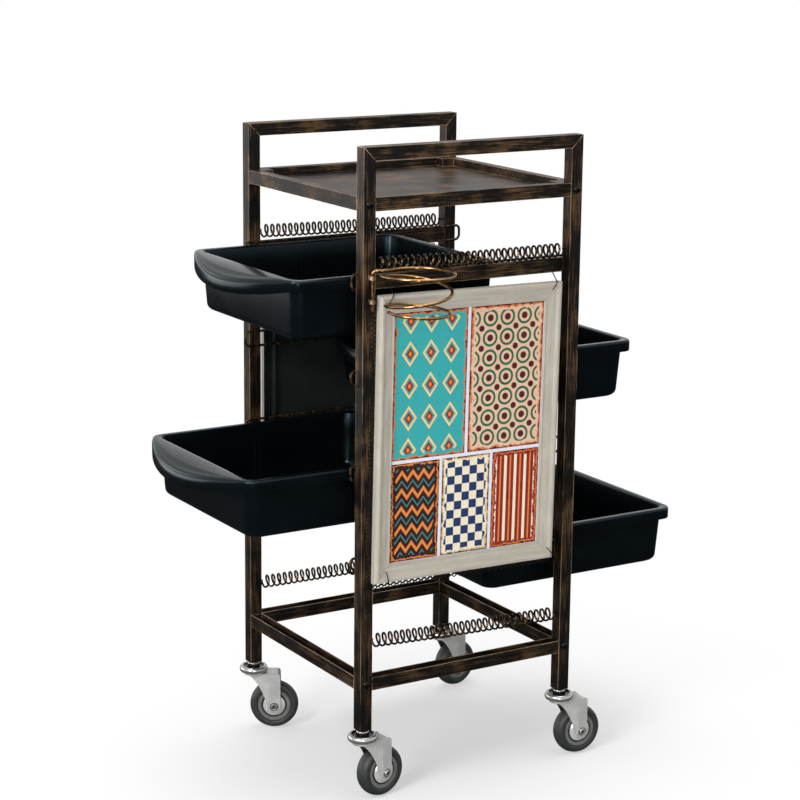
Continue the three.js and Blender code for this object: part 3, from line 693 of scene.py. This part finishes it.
def plan(length, width, corner):
    """(x, y, how far it faces -X) round a rounded rectangle; every plan has the same count."""
    a, b = length / 2 - corner, width / 2 - corner
    points = []
    corners = [(a, b, 0), (-a, b, 90), (-a, -b, 180), (a, -b, 270)]
    per_corner, per_side = 10, {90: 34, 0: 10, 180: 10, 270: 10}
    for index, (cx, cy, start) in enumerate(corners):
        for k in range(per_corner + 1):
            angle = math.radians(start + 90 * k / per_corner)
            x, y = cx + corner * math.cos(angle), cy + corner * math.sin(angle)
            points.append((x, y, max(0.0, -math.cos(angle))))
        nx, ny, ns = corners[(index + 1) % 4]
        angle = math.radians(ns)
        p0 = points[-1]
        p1 = (nx + corner * math.cos(angle), ny + corner * math.sin(angle))
        count = per_side[start]
        for k in range(1, count):
            t = k / count
            facing = 1.0 if start == 90 else 0.0
            points.append((p0[0] + (p1[0] - p0[0]) * t, p0[1] + (p1[1] - p0[1]) * t, facing))
    return points


def tray_mesh():
    t = TRAY
    body_l, body_w = t["length"] - 2 * t["overhang"], t["width"] - 2 * t["overhang"]
    rings = []

    def narrowed(z, inset):
        shrink = t["draft"] * min(1.0, -z / t["depth"])
        return body_l - 2 * shrink - 2 * inset, body_w - 2 * shrink - 2 * inset

    def body_ring(z, inset, corner):
        length, width = narrowed(z, inset)
        rings.append([(x, y, z) for x, y, _ in plan(length, width, max(corner, 1.5))])

    def roll(b):
        """Radius of the rim's outer edge, larger on the hand-hold."""
        return t["edge_roll"] + (t["handle_roll"] - t["edge_roll"]) * (b / t["bulge"]) ** 0.7

    def rim_ring(inset, level, share, turned=0.0):
        """One ring of the rim. share: how much of the hand-hold's outline it takes. turned: how far
        it has gone over the outer edge, from 0 to 1. level(b, facing, y) gives its height."""
        shape = plan(t["length"] - 2 * inset, t["width"] - 2 * inset, t["corner"] - inset)
        ring = []
        for x, y, facing in shape:
            b = bulge_at(y) * facing
            ring.append((x - b * share + (roll(b) - t["edge_roll"]) * turned, y, level(b * share, facing, y)))
        rings.append(ring)

    def top_z(b, low=0.0):
        return -t["drop"] * (b / t["bulge"]) ** 2.1 - low

    def skirt_z(facing, y):
        swell = max(0.0, 1 - (y / t["handle_half"]) ** 2) * facing
        return -t["rim"] - (t["skirt"] - t["rim"] + t["drop"] * 0.3) * swell

    floor, lip = t["floor_round"], t["lip_round"]
    for k in range(3):
        body_ring(-t["depth"], 60 - 22 * k, t["body_corner"])
    for k in range(6):
        angle = math.radians(90 * k / 5)
        inset = floor * (1 - math.sin(angle))
        body_ring(-t["depth"] + floor * (1 - math.cos(angle)), inset, t["body_corner"] - inset * 0.3)
    body_ring(-t["rim"] - 8, 0, t["body_corner"])
    body_ring(-t["wall"] - 1.2, 0, t["body_corner"])
    rim_ring(t["wall"] + 1, lambda b, f, y: top_z(b, t["wall"]), 1)
    rim_ring(t["wall"], lambda b, f, y: top_z(b, t["wall"] + 1.2), 1)
    rim_ring(t["wall"], lambda b, f, y: skirt_z(f, y) + 0.4, 1)
    rim_ring(t["wall"] - 0.5, lambda b, f, y: skirt_z(f, y), 1)
    rim_ring(0.5, lambda b, f, y: skirt_z(f, y), 1)
    rim_ring(0, lambda b, f, y: skirt_z(f, y) + 0.6, 1)
    for k in range(9):
        angle = math.radians(90 * k / 8)
        over = 1 - math.cos(angle)
        rise = 1 - math.sin(angle)
        rim_ring(t["edge_roll"] * over, lambda b, f, y, rise=rise: top_z(b, roll(b) * rise), 1, over)
    for k in range(15):
        share = 0.66 * (1 - k / 14)
        inset = t["edge_roll"] + 3.0 * (1 - share)
        rim_ring(inset, lambda b, f, y: top_z(b), share)
    for k in range(5):
        angle = math.radians(90 * (k + 1) / 5)
        inset = t["wall"] - lip + lip * math.sin(angle)
        body_ring(-lip * (1 - math.cos(angle)), inset, t["body_corner"] - t["wall"])
    body_ring(-30, t["wall"], t["body_corner"] - t["wall"])
    for k in range(6):
        angle = math.radians(90 * k / 5)
        inset = t["wall"] + floor * (1 - math.cos(angle))
        height = -t["depth"] + t["wall"] + floor * (1 - math.sin(angle))
        body_ring(height, inset, t["body_corner"] - t["wall"] - 3)
    for k in range(3):
        body_ring(-t["depth"] + t["wall"], t["wall"] + floor + 20 + 22 * k, t["body_corner"])
    columns = len(rings[0])
    verts = [tuple(v * MM for v in point) for ring in rings for point in ring]
    faces = grid_faces(len(rings), columns)
    faces.append(tuple(reversed(range(columns))))
    faces.append(tuple(range((len(rings) - 1) * columns, len(rings) * columns)))
    return verts, faces


tray_verts, tray_faces = tray_mesh()
for index in range(1, 5):
    node = f"tray_{index}"
    lo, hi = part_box(node)
    origin = (hi[0] - TRAY["length"] / 2 * MM, (lo[1] + hi[1]) / 2, hi[2])
    matrix = Matrix.Translation(origin)
    build(node + "_shell", tray_verts, tray_faces, plastic, node, [node], "tray_plastic", matrix, sharp=50)
    wall_y = TRAY["width"] / 2 - TRAY["overhang"] - TRAY["wall"]
    ribs = []
    for sign in (-1, 1):
        for x in (-RIB_SPACING / 2, RIB_SPACING / 2):
            run = []
            for level in RIB_LEVELS:
                y = wall_y - 0.9 - TRAY["draft"] * level / TRAY["depth"]
                run.append((x * MM, sign * y * MM, -level * MM))
            ribs.append(sweep(run, RIB_RADIUS_MM * MM, 10))
    verts, faces = join(*ribs)
    build(node + "_ribs", verts, faces, plastic, node, (), "tray_plastic", matrix)

# ---------------------------------------------------------------- bolts
BOLT = [
    (0, -27), (3, -27), (3, 0.3), (5.6, 0.3), (5.6, 1.3), (5.3, 2.0), (4.5, 2.8), (3.5, 3.3),
    (2.2, 3.5), (2.1, 1.8), (0, 1.8),
]
SOCKET_RINGS = (8, 9)
bolt_verts, bolt_faces = lathe(scaled(BOLT), 24, "y", SOCKET_RINGS)
for row in ("top", "bottom"):
    for side, end in (("near", 0), ("far", 1)):
        leg_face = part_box("top_tray")[end][1]
        turned = Matrix.Rotation(math.pi * end, 4, "Z")
        for hand in ("left", "right"):
            node = f"bolt_{row}_{side}_{hand}"
            mid = centre(node)
            matrix = Matrix.Translation((mid[0], leg_face, mid[2])) @ turned
            build(node + "_button", bolt_verts, bolt_faces, bolt_metal, ROOT, [node], "bolt_steel", matrix)

# ---------------------------------------------------------------- dryer ring
pivot = JOINTS["dryer_ring_swing"]["pos_m"]
lo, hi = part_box("dryer_holder")
RING_WIRE = 2.2 * MM
ring_x, ring_y, ring_z = pivot[0] + 0.040, pivot[1] - 0.0535, hi[2] - RING_WIRE
pin_bottom = lo[2]
RING_START = math.radians(118)      # where the arm meets the ring
RING_RADIUS, NARROWING = 51, 7
RING_FALL, TAIL_DIP = 43, 11
FALL_START, FALL_TURNS, TAIL_START, ALL_TURNS = 0.8, 1.1, 1.9, 2.84
RING_STEPS = 150
ELBOW = 6 * MM


def ring_point(turns):
    """The ring is level at first, then falls and narrows, and its tail dips and comes back."""
    angle = RING_START - turns * 2 * math.pi
    fall = min(1.0, max(0.0, (turns - FALL_START) / FALL_TURNS))
    tail = min(1.0, max(0.0, turns - TAIL_START))
    radius = (RING_RADIUS - NARROWING * fall) * MM
    drop = (RING_FALL * fall * fall * (3 - 2 * fall) * 0.5 + RING_FALL * fall * 0.5) * MM
    drop += TAIL_DIP * MM * math.sin(math.pi * tail * 0.88)
    return (ring_x + radius * math.cos(angle), ring_y + radius * math.sin(angle), ring_z - drop)


elbow = Vector((pivot[0], pivot[1], ring_z))
first = Vector(ring_point(0))
arm = (first - elbow).normalized()
path = [(pivot[0], pivot[1], pin_bottom + 0.01 * MM), (pivot[0], pivot[1], ring_z - 20 * MM)]
for k in range(9):
    angle = math.radians(90 * k / 8)
    bend = elbow - Vector((0, 0, ELBOW)) + arm * (ELBOW * (1 - math.cos(angle)))
    path.append(tuple(bend + Vector((0, 0, ELBOW * math.sin(angle)))))
coil = [ring_point(ALL_TURNS * k / RING_STEPS) for k in range(1, RING_STEPS + 1)]
path += smooth_path([tuple(elbow + arm * 0.012), tuple(first - arm * 4 * MM)] + coil, 2)
verts, faces = sweep(path, RING_WIRE, 14)
build("dryer_ring_wire", verts, faces, copper, "dryer_ring", ["dryer_holder"], "copper_wire", sharp=60)

# ---------------------------------------------------------------- pictures
MOULDING = [
    (0, 0), (0, 7.6), (0.7, 9.8), (2.3, 11.4), (4.6, 12.0), (6.9, 11.5), (8.6, 10.0), (9.6, 9.0),
    (11, 8.6), (15, 8.2), (19, 7.3), (22, 6.4), (23.4, 6.3), (24.4, 6.9), (25.4, 6.7), (26, 5.8),
    (26, 3.6), (22, 3.6), (22, 0),
]
MOULDING_WIDTH, REBATE = 26, 3.7
MOULDING_STEPS, RIPPLE = 24, 0.28
PICTURE_W, PICTURE_H, PICTURE_TILT = 304, 412, 0.9


def moulding_mesh(width, height):
    """The profile swept round four mitred sides, its runs a little uneven by hand."""
    corners = [(-1, -1), (1, -1), (1, 1), (-1, 1)]
    rings = []
    for index, (sx, sz) in enumerate(corners):
        nx, nz = corners[(index + 1) % 4]
        for k in range(MOULDING_STEPS):
            t = k / MOULDING_STEPS
            ring = []
            for m, (w, d) in enumerate(MOULDING):
                start = np.array((sx * (width / 2 - w), sz * (height / 2 - w)))
                end = np.array((nx * (width / 2 - w), nz * (height / 2 - w)))
                x, z = start + (end - start) * t
                ripple = 0.0
                if 2 < m < 15:
                    wave = math.sin(k * 1.7 + index * 2.1 + m * 0.5)
                    ripple = RIPPLE * wave * math.sin(math.pi * t)
                ring.append((x * MM, -(d + ripple) * MM, z * MM))
            rings.append(ring)
    count = len(MOULDING)
    verts = [v for ring in rings for v in ring]
    faces = grid_faces(len(rings), count, wrap_rows=True)
    return verts, flipped(faces)


def sheet_mesh(width, height, front, back, tiles):
    """A panel whose front is cut along its tiles. The last index is its back and sides."""
    us, vs = {-width / 2, width / 2}, {-height / 2, height / 2}
    for (u0, u1, v0, v1), _ in tiles:
        us |= {u0, u1}
        vs |= {v0, v1}
    us, vs = sorted(us), sorted(vs)
    columns, rows = len(us), len(vs)
    verts = [(u * MM, y * MM, v * MM) for y in (front, back) for v in vs for u in us]
    faces, indices = [], []
    half = rows * columns
    for i in range(rows - 1):
        for j in range(columns - 1):
            a = i * columns + j
            cell = (a, a + 1, a + 1 + columns, a + columns)
            u, v = (us[j] + us[j + 1]) / 2, (vs[i] + vs[i + 1]) / 2
            inside = [k for k, ((u0, u1, v0, v1), _) in enumerate(tiles) if u0 < u < u1 and v0 < v < v1]
            faces.append(cell)
            indices.append(inside[0] + 1 if inside else 0)
            faces.append(tuple(half + c for c in reversed(cell)))
            indices.append(len(tiles) + 1)
    border = list(range(columns))
    border += [i * columns + columns - 1 for i in range(1, rows)]
    border += [(rows - 1) * columns + j for j in range(columns - 2, -1, -1)]
    border += [i * columns for i in range(rows - 2, 0, -1)]
    for a, b in zip(border, border[1:] + border[:1]):
        faces.append((b, a, a + half, b + half))
        indices.append(len(tiles) + 1)
    return verts, faces, indices


limed = limed_moulding("limed_wood", (PICTURE_W / 2 * MM, PICTURE_H / 2 * MM))
open_w, open_h = PICTURE_W - 2 * MOULDING_WIDTH, PICTURE_H - 2 * MOULDING_WIDTH
sheet_w, sheet_h = open_w + 2 * REBATE, open_h + 2 * REBATE
tiles = print_layout(open_w, open_h)
paper = Print("print_paper", (0.70, 0.70, 0.78)).done()
print_materials = [paper] + [print_tile(pattern, rect) for rect, pattern in tiles] + [board]
near_mid = centre("picture_frame")
near_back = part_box("picture_frame")[1][1]
tilt = Matrix.Rotation(math.radians(PICTURE_TILT), 4, "Y")
near_matrix = Matrix.Translation((near_mid[0], near_back, near_mid[2])) @ tilt
far_mid = centre("far_picture")
far_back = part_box("far_picture")[0][1]
far_matrix = Matrix.Translation((far_mid[0], far_back, far_mid[2])) @ Matrix.Rotation(math.pi, 4, "Z")
verts, faces = moulding_mesh(PICTURE_W, PICTURE_H)
back_strips = {len(MOULDING) - 2, len(MOULDING) - 1}
moulding_indices = [1 if k % len(MOULDING) in back_strips else 0 for k in range(len(faces))]
moulding_materials = [limed, board]
sides = (("picture", ["picture_frame"], ["picture_panel"], near_matrix, -0.3),
         ("far", ["far_picture"], [], far_matrix, -1.8))
for label, frame_nodes, panel_nodes, matrix, back in sides:
    build(label + "_moulding", verts, faces, moulding_materials, ROOT, frame_nodes, "limed_wood", matrix,
          sharp=40, indices=moulding_indices)
    sheet_verts, sheet_faces, sheet_indices = sheet_mesh(sheet_w, sheet_h, -3.3, back, tiles)
    build(label + "_print", sheet_verts, sheet_faces, print_materials, ROOT, panel_nodes, "poster", matrix,
          indices=sheet_indices)

# expanded mesh behind the near picture: whole diamonds, so its border is zigzag
CELL_X, CELL_Z, STRAND = 10.2, 6.6, 0.22
MESH_COLUMNS, MESH_ROWS = 31, 64


def expanded_mesh(nx, nz, y0, y1):
    """nx by nz whole diamonds and those between them, each with a hole, from depth y0 to y1."""
    width, height = nx * CELL_X, nz * CELL_Z
    verts, faces, shared = [], [], {}

    def point(i, j, y):
        return (i * CELL_X / 2 - width / 2) * MM, y * MM, (j * CELL_Z / 2 - height / 2) * MM

    def corner(i, j, y):
        key = (i, j, y)
        if key not in shared:
            shared[key] = len(verts)
            verts.append(point(i, j, y))
        return shared[key]

    cells = [(2 * i + 1, 2 * j + 1) for i in range(nx) for j in range(nz)]
    cells += [(2 * i + 2, 2 * j + 2) for i in range(nx - 1) for j in range(nz - 1)]
    edge_use = {}
    for i, j in cells:
        ring = [(i + 1, j), (i, j + 1), (i - 1, j), (i, j - 1)]
        hole = []
        for a, b in ring:
            hole.append((i + (a - i) * (1 - 2 * STRAND), j + (b - j) * (1 - 2 * STRAND)))
        front = [corner(a, b, y0) for a, b in ring]
        back = [corner(a, b, y1) for a, b in ring]
        hole_front, hole_back = [], []
        for store, y in ((hole_front, y0), (hole_back, y1)):
            for a, b in hole:
                store.append(len(verts))
                verts.append(point(a, b, y))
        for k in range(4):
            m = (k + 1) % 4
            faces.append((front[m], front[k], hole_front[k], hole_front[m]))
            faces.append((back[k], back[m], hole_back[m], hole_back[k]))
            faces.append((hole_front[m], hole_front[k], hole_back[k], hole_back[m]))
            key = tuple(sorted((ring[k], ring[m])))
            edge_use.setdefault(key, []).append((front[k], front[m], back[m], back[k]))
    for walls in edge_use.values():
        if len(walls) == 1:
            faces.append(walls[0])
    return verts, flipped(faces)


verts, faces = expanded_mesh(MESH_COLUMNS, MESH_ROWS, 0.3, 1.5)
mesh_matrix = Matrix.Translation((near_mid[0] - 2.0 * MM, near_back, near_mid[2] - 5.0 * MM)) @ tilt
build("mesh_lattice", verts, faces, mesh_metal, ROOT, ["mesh_panel"], "mesh_steel", mesh_matrix)

# a rounded rib runs round the back of the far picture, a little inside its edge
RIB_INSET, RIB_RADIUS, RIB_CORNER = 17 * MM, 4.2 * MM, 6 * MM
rib_x, rib_z = PICTURE_W / 2 * MM - RIB_INSET, PICTURE_H / 2 * MM - RIB_INSET
rib = []
for cx, cz, start in ((1, 1, 0), (-1, 1, 90), (-1, -1, 180), (1, -1, 270)):
    for k in range(9):
        angle = math.radians(start + 90 * k / 8)
        rib.append((cx * (rib_x - RIB_CORNER) + RIB_CORNER * math.cos(angle), 0.6 * MM,
                    cz * (rib_z - RIB_CORNER) + RIB_CORNER * math.sin(angle)))
verts, faces = sweep(rib, RIB_RADIUS, 16, closed=True)
build("far_back_rib", verts, faces, board, ROOT, (), "dark_board", far_matrix)

# hanging wires over the bar and the ties at the lower corners
PICTURE_WIRE = 0.75 * MM
front_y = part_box("picture_frame")[0][1]
picture_top = near_mid[2] + PICTURE_H / 2 * MM


def picture_wire(name, run, replaces=()):
    verts, faces = sweep(smooth_path(run, 8), PICTURE_WIRE, 8)
    build(name, verts, faces, black_wire, ROOT, replaces, "black_wire", sharp=60)


def dip(x):
    """How far the picture's tilt moves its edge at x."""
    return -math.sin(math.radians(PICTURE_TILT)) * (x - near_mid[0])


lean = 4.6 * MM
bar_y, bar_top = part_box("cross_bar_near")[0][1] - 1.2 * MM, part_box("cross_bar_near")[1][2]
for side, shift in (("left", 0.0), ("right", 8 * MM)):
    node = "hanger_" + side
    lo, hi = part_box(node)
    x = (lo[0] + hi[0]) / 2 + shift
    top_z = hi[2] - 0.9 * MM
    edge = picture_top + dip(x)
    inner_y = hi[1] - 0.9 * MM
    run = [
        (x + lean, inner_y, top_z - 2.5 * MM), (x + lean, inner_y - 3.0 * MM, top_z),
        (x + lean, bar_y + 3.2 * MM, bar_top + 3.6 * MM), (x + lean, bar_y, bar_top + 0.6 * MM),
        (x + lean, bar_y, bar_top - 18 * MM), (x - lean, front_y + 3 * MM, edge + 1.8 * MM),
        (x - lean * 1.4, front_y - 0.2 * MM, edge - 0.5 * MM),
        (x - lean * 2.0, front_y - 1.0 * MM, edge - 5 * MM),
        (x - lean * 3.0, front_y - 0.5 * MM, edge - 11 * MM),
    ]
    picture_wire(node + "_wire", run, [node])

picture_bottom = near_mid[2] - PICTURE_H / 2 * MM
for side, offset, reach in (("left", -0.137, 7 * MM), ("right", 0.138, 28 * MM)):
    x = near_mid[0] + offset
    edge = picture_bottom + dip(x)
    run = [
        (x, front_y + 1.6 * MM, edge + 17 * MM),
        (x + reach * 0.1, front_y - 1.0 * MM, edge + 13 * MM),
        (x + reach * 0.45, front_y - 1.0 * MM, edge + 2.5 * MM),
        (x + reach * 0.55, front_y + 1.5 * MM, edge - 1.6 * MM),
        (x + reach * 0.8, near_back - 1.0 * MM, edge - 3.8 * MM),
        (x + reach, near_back + 2.0 * MM, edge - 8 * MM),
    ]
    picture_wire("picture_tie_" + side, run)

# ---------------------------------------------------------------- casters
FORK_TOP, DECK, AXLE_Z, TRAIL = 92, 90.0, 37.5, 32
CREASE, WING_BEND = TRAIL - 7.5, 0.18
CHEEK_RADIUS, DECK_HALF, DECK_START = 10.2, 15.2, 8


def cheek_mesh(side):
    """One cheek: a flat panel down to the axle, and ahead of its crease a wing bent towards the wheel."""
    wing = []
    for k in range(13):
        t = k / 12
        a, b, c = np.array((-13.5, 88.4)), np.array((8.0, 83.0)), np.array((TRAIL - 10.0, AXLE_Z - 1.0))
        wing.append(tuple((1 - t) ** 2 * a + 2 * t * (1 - t) * b + t * t * c))
    wing += [(CREASE, AXLE_Z - 4.0), (CREASE, DECK), (-13.0, DECK)]
    panel = [(CREASE, DECK), (CREASE, AXLE_Z + 1.0)]
    for k in range(13):
        angle = math.radians(200 + 150 * k / 12)
        panel.append((TRAIL + CHEEK_RADIUS * math.cos(angle), AXLE_Z + CHEEK_RADIUS * math.sin(angle)))
    panel += [(TRAIL + 10.4, AXLE_Z + 6), (TRAIL + 9.8, 84.5), (TRAIL + 9.0, 88.2), (TRAIL + 6.5, DECK)]
    low, high = sorted((side * 13.6 * MM, side * 15.4 * MM))
    wing_verts, wing_faces = prism(scaled(wing), low, high, 0.4 * MM)
    wing_verts = [(x, y - side * WING_BEND * (CREASE * MM - x), z) for x, y, z in wing_verts]
    low, high = sorted((side * 14.0 * MM, side * 16.0 * MM))
    return join((wing_verts, wing_faces), prism(scaled(panel), low, high, 0.6 * MM))


def fork_mesh():
    """Domed crown, deck over the wheel and two cheeks."""
    crown = lathe(scaled([
        (4, 85.5), (12.5, 85.5), (14.6, 86.3), (15.4, 87.6), (15.4, FORK_TOP - 1.2), (14.6, FORK_TOP - 0.3),
        (4, FORK_TOP - 0.3), (4, 85.5),
    ]), 48)
    rows = []
    for k in range(11):
        t = k / 10
        x = DECK_START + t * (TRAIL + 9.4 - DECK_START)
        z = DECK - 3.2 * max(0.0, (t - 0.78) / 0.22) ** 2
        rows.append((x, z))
    under = [(x, z - 2.2) for x, z in reversed(rows)]
    deck = prism(scaled(rows + under), -DECK_HALF * MM, DECK_HALF * MM, 0.5 * MM)
    return join(crown, deck, cheek_mesh(-1), cheek_mesh(1))


RING_SEGMENTS = 64


def about_axle(profile, segments=RING_SEGMENTS):
    return lathe(scaled(profile), segments, "y")


HEAD = scaled([
    (0, 92.8), (15.8, 92.8), (16.6, 91.2), (18.4, 90.6), (20.4, 91.4), (21.6, 93.4), (21.8, 95.8),
    (21.2, 98.0), (19.8, 99.9), (17.8, 100.8), (16.4, 100.4), (15.4, 99.2), (14.0, 98.6), (9.6, 98.6),
    (9.6, 104.6), (8.9, 105.6), (5, 105.6), (5, 137), (0, 137),
])
TYRE_SIDE = [
    (25.8, -10.2), (27.2, -11.2), (31.8, -11.4), (33.6, -10.8), (35.4, -8.6), (36.6, -5.6), (37.3, -2.6),
]
CORE_SIDE = [
    (4.3, -12.4), (9, -12.4), (10.5, -8.5), (18.6, -8.5), (19.6, -9.4), (20.6, -10.4), (24.4, -10.4),
    (25.4, -9.6),
]
AXLE_SIDE = [
    (0, -19.4), (2.9, -19.4), (3.3, -20.2), (4.0, -20.5), (4.8, -19.8), (5.1, -18.6), (6.4, -18.4),
    (6.8, -17.6), (6.8, -16.1), (3.9, -16.1),
]
GUARD = [(9.4, 8.9), (16.6, 8.9), (17.2, 9.6), (16.6, 10.6), (13.6, 12.0), (9.4, 12.9), (9.4, 8.9)]


def mirrored(profile):
    """The profile on the other side of the wheel's middle, run the other way."""
    return [(r, -h) for r, h in reversed(profile)]


TYRE = TYRE_SIDE + [(37.5, 0)] + mirrored(TYRE_SIDE) + TYRE_SIDE[:1]
CORE = CORE_SIDE + mirrored(CORE_SIDE) + CORE_SIDE[:1]
AXLE = AXLE_SIDE + mirrored(AXLE_SIDE)


def faces_where(mesh, test):
    """Material indices: 1 for each face whose centre, as (radius from Z, x, y, z) in mm, passes the test."""
    verts, faces = mesh
    indices = []
    for face in faces:
        x, y, z = np.mean([verts[i] for i in face], axis=0) / MM
        indices.append(1 if test(math.hypot(x, y), x, y, z) else 0)
    return indices


def bolt_painted_shade(r, x, y, z):
    """The groove behind the bolt's head and the hollow in it: painted shade, coloured with the dark copy of
    zinc.
    """
    return 18.0 < abs(y) < 18.7 or (abs(y) > 19.0 and math.hypot(x, z) < 3.2)


def cup_painted_shade(r, x, y, z):
    """The sunken middle of the bearing cup, round its nut: painted shade, coloured dark steel."""
    return r < 15.9 and 98.0 < z < 103.0


def yoke_painted_shade(r, x, y, z):
    """The yoke's inner faces, over and beside the wheel: painted shade, coloured with the dark copy of zinc
    because they are out of the light.
    """
    return z < 88.2 and abs(y) < 14.2 - WING_BEND * max(0.0, CREASE - x)


# painted shade: core strips in the recessed gap are coloured near-black for the shade there
GAP_REACH = 38.3    # a core strip whose two radii add up to less than this is in the dark gap
gap_strips = [1 if abs(a[0] + b[0]) < GAP_REACH else 0 for a, b in zip(CORE, CORE[1:])]
core_indices = [index for index in gap_strips for _ in range(RING_SEGMENTS)]
for corner in ("near_left", "near_right", "far_left", "far_right"):
    spin = JOINTS[corner + "_wheel_spin"]
    swivel = JOINTS[corner + "_swivel"]
    across = Vector(spin["axis"])
    along = across.cross(Vector((0, 0, 1)))
    base = Matrix((
        (along[0], across[0], 0, swivel["pos_m"][0]),
        (along[1], across[1], 0, swivel["pos_m"][1]),
        (0, 0, 1, 0),
        (0, 0, 0, 1),
    ))
    wheel = base @ Matrix.Translation((TRAIL * MM, 0, AXLE_Z * MM))
    label = "caster_" + corner
    swivel_body, wheel_body = label + "_swivel", label + "_wheel"
    race = lathe(HEAD, 48)
    yoke = fork_mesh()
    bolt = about_axle(AXLE, 32)
    guards = join(about_axle(GUARD), about_axle(mirrored(GUARD)))
    pieces = (
        ("race", race, [bright_zinc, bolt_metal], ROOT, ["head"], "zinc", base, 45,
         faces_where(race, cup_painted_shade)),
        ("yoke", yoke, [zinc_metal, shaded_zinc], swivel_body, ["fork"], "zinc", base, 30,
         faces_where(yoke, yoke_painted_shade)),
        ("bolt", bolt, [bolt_zinc, shaded_zinc], swivel_body, ["axle"], "zinc", wheel, 35,
         faces_where(bolt, bolt_painted_shade)),
        ("tread", about_axle(TYRE, 96), tyre_rubber, wheel_body, ["tyre"], "grey_rubber", wheel, 60, None),
        ("core", about_axle(CORE), [core_plastic, gap_painted_shade], wheel_body, ["hub"], "grey_core", wheel, 35,
         core_indices),
        ("guards", guards, guard_zinc, wheel_body, [], "zinc", wheel, 35, None),
    )
    for piece, mesh, material, body, stands_for, slot, matrix, sharp, indices in pieces:
        nodes = [f"{label}_{node}" for node in stands_for]
        build(f"{label}_{piece}", *mesh, material, body, nodes, slot, matrix, sharp, indices)

# ---------------------------------------------------------------- stage, light and camera
WHITE = (1.0, 1.0, 1.0)
SPAN = 60.0
floor_shader = Shader("floor")
floor_shade = floor_shader.noise((3, 3, 3), 2, 0.5)
floor_colour = floor_shader.mix(floor_shade, (0.92, 0.92, 0.92), (0.94, 0.94, 0.94))
floor_shader.surface(Base_Color=floor_colour, Roughness=0.7)
glow = floor_shader.node("Emission", WHITE, 1.0)
away = floor_shader.ramp(floor_shader.vector("LENGTH", floor_shader.coords), 0.2, 0.8, 0.4, 1.0)
seen = floor_shader.node("LightPath").outputs["Is Camera Ray"]
fade = floor_shader.node("MixShader", floor_shader.times(away, seen))
floor_shader.put(fade.inputs[1], floor_shader.bsdf.outputs[0])
floor_shader.put(fade.inputs[2], glow.outputs[0])
floor_shader.put(floor_shader.tree.nodes["Material Output"].inputs["Surface"], fade.outputs[0])
floor_data = bpy.data.meshes.new("floor")
floor_corners = [(x * SPAN, y * SPAN, 0) for x, y in ((-1, -1), (1, -1), (1, 1), (-1, 1))]
floor_data.from_pydata(floor_corners, [], [(0, 1, 2, 3)])
floor_data.materials.append(floor_shader.material)
floor = bpy.data.objects.new("floor", floor_data)
bpy.context.scene.collection.objects.link(floor)
floor.visible_glossy = False

# The surroundings are white to the camera. To the object they are a studio: a pale band stands
# round the horizon, and what lies below it is dark, so that upright dark gloss stays dark.
SURROUNDINGS = ((0.0, 0.04), (0.03, 1.3), (0.28, 0.8), (1.0, 0.55))
DIFFUSE_SHARE = 0.5
world = bpy.data.worlds.new("studio")
world.use_nodes = True
sky = Nodes(world.node_tree)
upward = sky.node("SeparateXYZ", sky.node("TexCoord").outputs["Generated"]).outputs["Z"]
shade = sky.node("ValToRGB", upward)
while len(shade.color_ramp.elements) < len(SURROUNDINGS):
    shade.color_ramp.elements.new(0.5)
for element, (position, grey) in zip(shade.color_ramp.elements, SURROUNDINGS):
    element.position = position
    element.color = (grey, grey, grey, 1)
rays = sky.node("LightPath").outputs
background = sky.tree.nodes["Background"].inputs
sky.put(background["Color"], sky.mix(rays["Is Camera Ray"], shade.outputs[0], WHITE))
sky.put(background["Strength"], sky.ramp(rays["Is Diffuse Ray"], 0.0, 1.0, 1.0, DIFFUSE_SHARE))
bpy.context.scene.world = world


def softbox(name, place, target, size, power):
    light = bpy.data.lights.new(name, "AREA")
    light.shape = "RECTANGLE"
    light.size, light.size_y = size
    light.energy = power
    lamp = bpy.data.objects.new(name, light)
    lamp.location = place
    lamp.rotation_euler = (Vector(target) - Vector(place)).to_track_quat("-Z", "Y").to_euler()
    bpy.context.scene.collection.objects.link(lamp)


softbox("key", (-2.6, -1.2, 1.9), (0, 0, 0.5), (1.0, 2.0), 66)
softbox("front", (-1.7, -3.2, 1.0), (0, 0, 0.5), (0.35, 1.7), 24)
softbox("rear_left", (-2.6, 3.0, 0.6), (0, 0, 0.5), (3.0, 1.4), 26)
softbox("top", (0.2, 0.2, 3.0), (0, 0, 0.4), (2.2, 2.2), 55)
bpy.context.scene.view_settings.view_transform = "Standard"

# The camera: its aim, distance, turn and lens.
AIM = Vector((-0.0126, centre("top_tray")[1], 0.5396))
AZIMUTH, ELEVATION, ROLL = math.radians(-31.398), math.radians(13.041), math.radians(0.605)
DISTANCE, LENS = 3.3724, 102.016
camera_data = bpy.data.cameras.new("camera")
camera_data.lens, camera_data.sensor_width = LENS, 36.0
camera = bpy.data.objects.new("camera", camera_data)
back = Vector((math.sin(AZIMUTH) * math.cos(ELEVATION), -math.cos(AZIMUTH) * math.cos(ELEVATION),
               math.sin(ELEVATION)))
right = (-back).cross(Vector((0, 0, 1))).normalized()
up = right.cross(-back)
rolled_right = math.cos(ROLL) * right + math.sin(ROLL) * up
rolled_up = -math.sin(ROLL) * right + math.cos(ROLL) * up
turn = Matrix((rolled_right, rolled_up, back)).transposed().to_4x4()
camera.matrix_world = Matrix.Translation(AIM + back * DISTANCE) @ turn
bpy.context.scene.collection.objects.link(camera)
bpy.context.scene.camera = camera
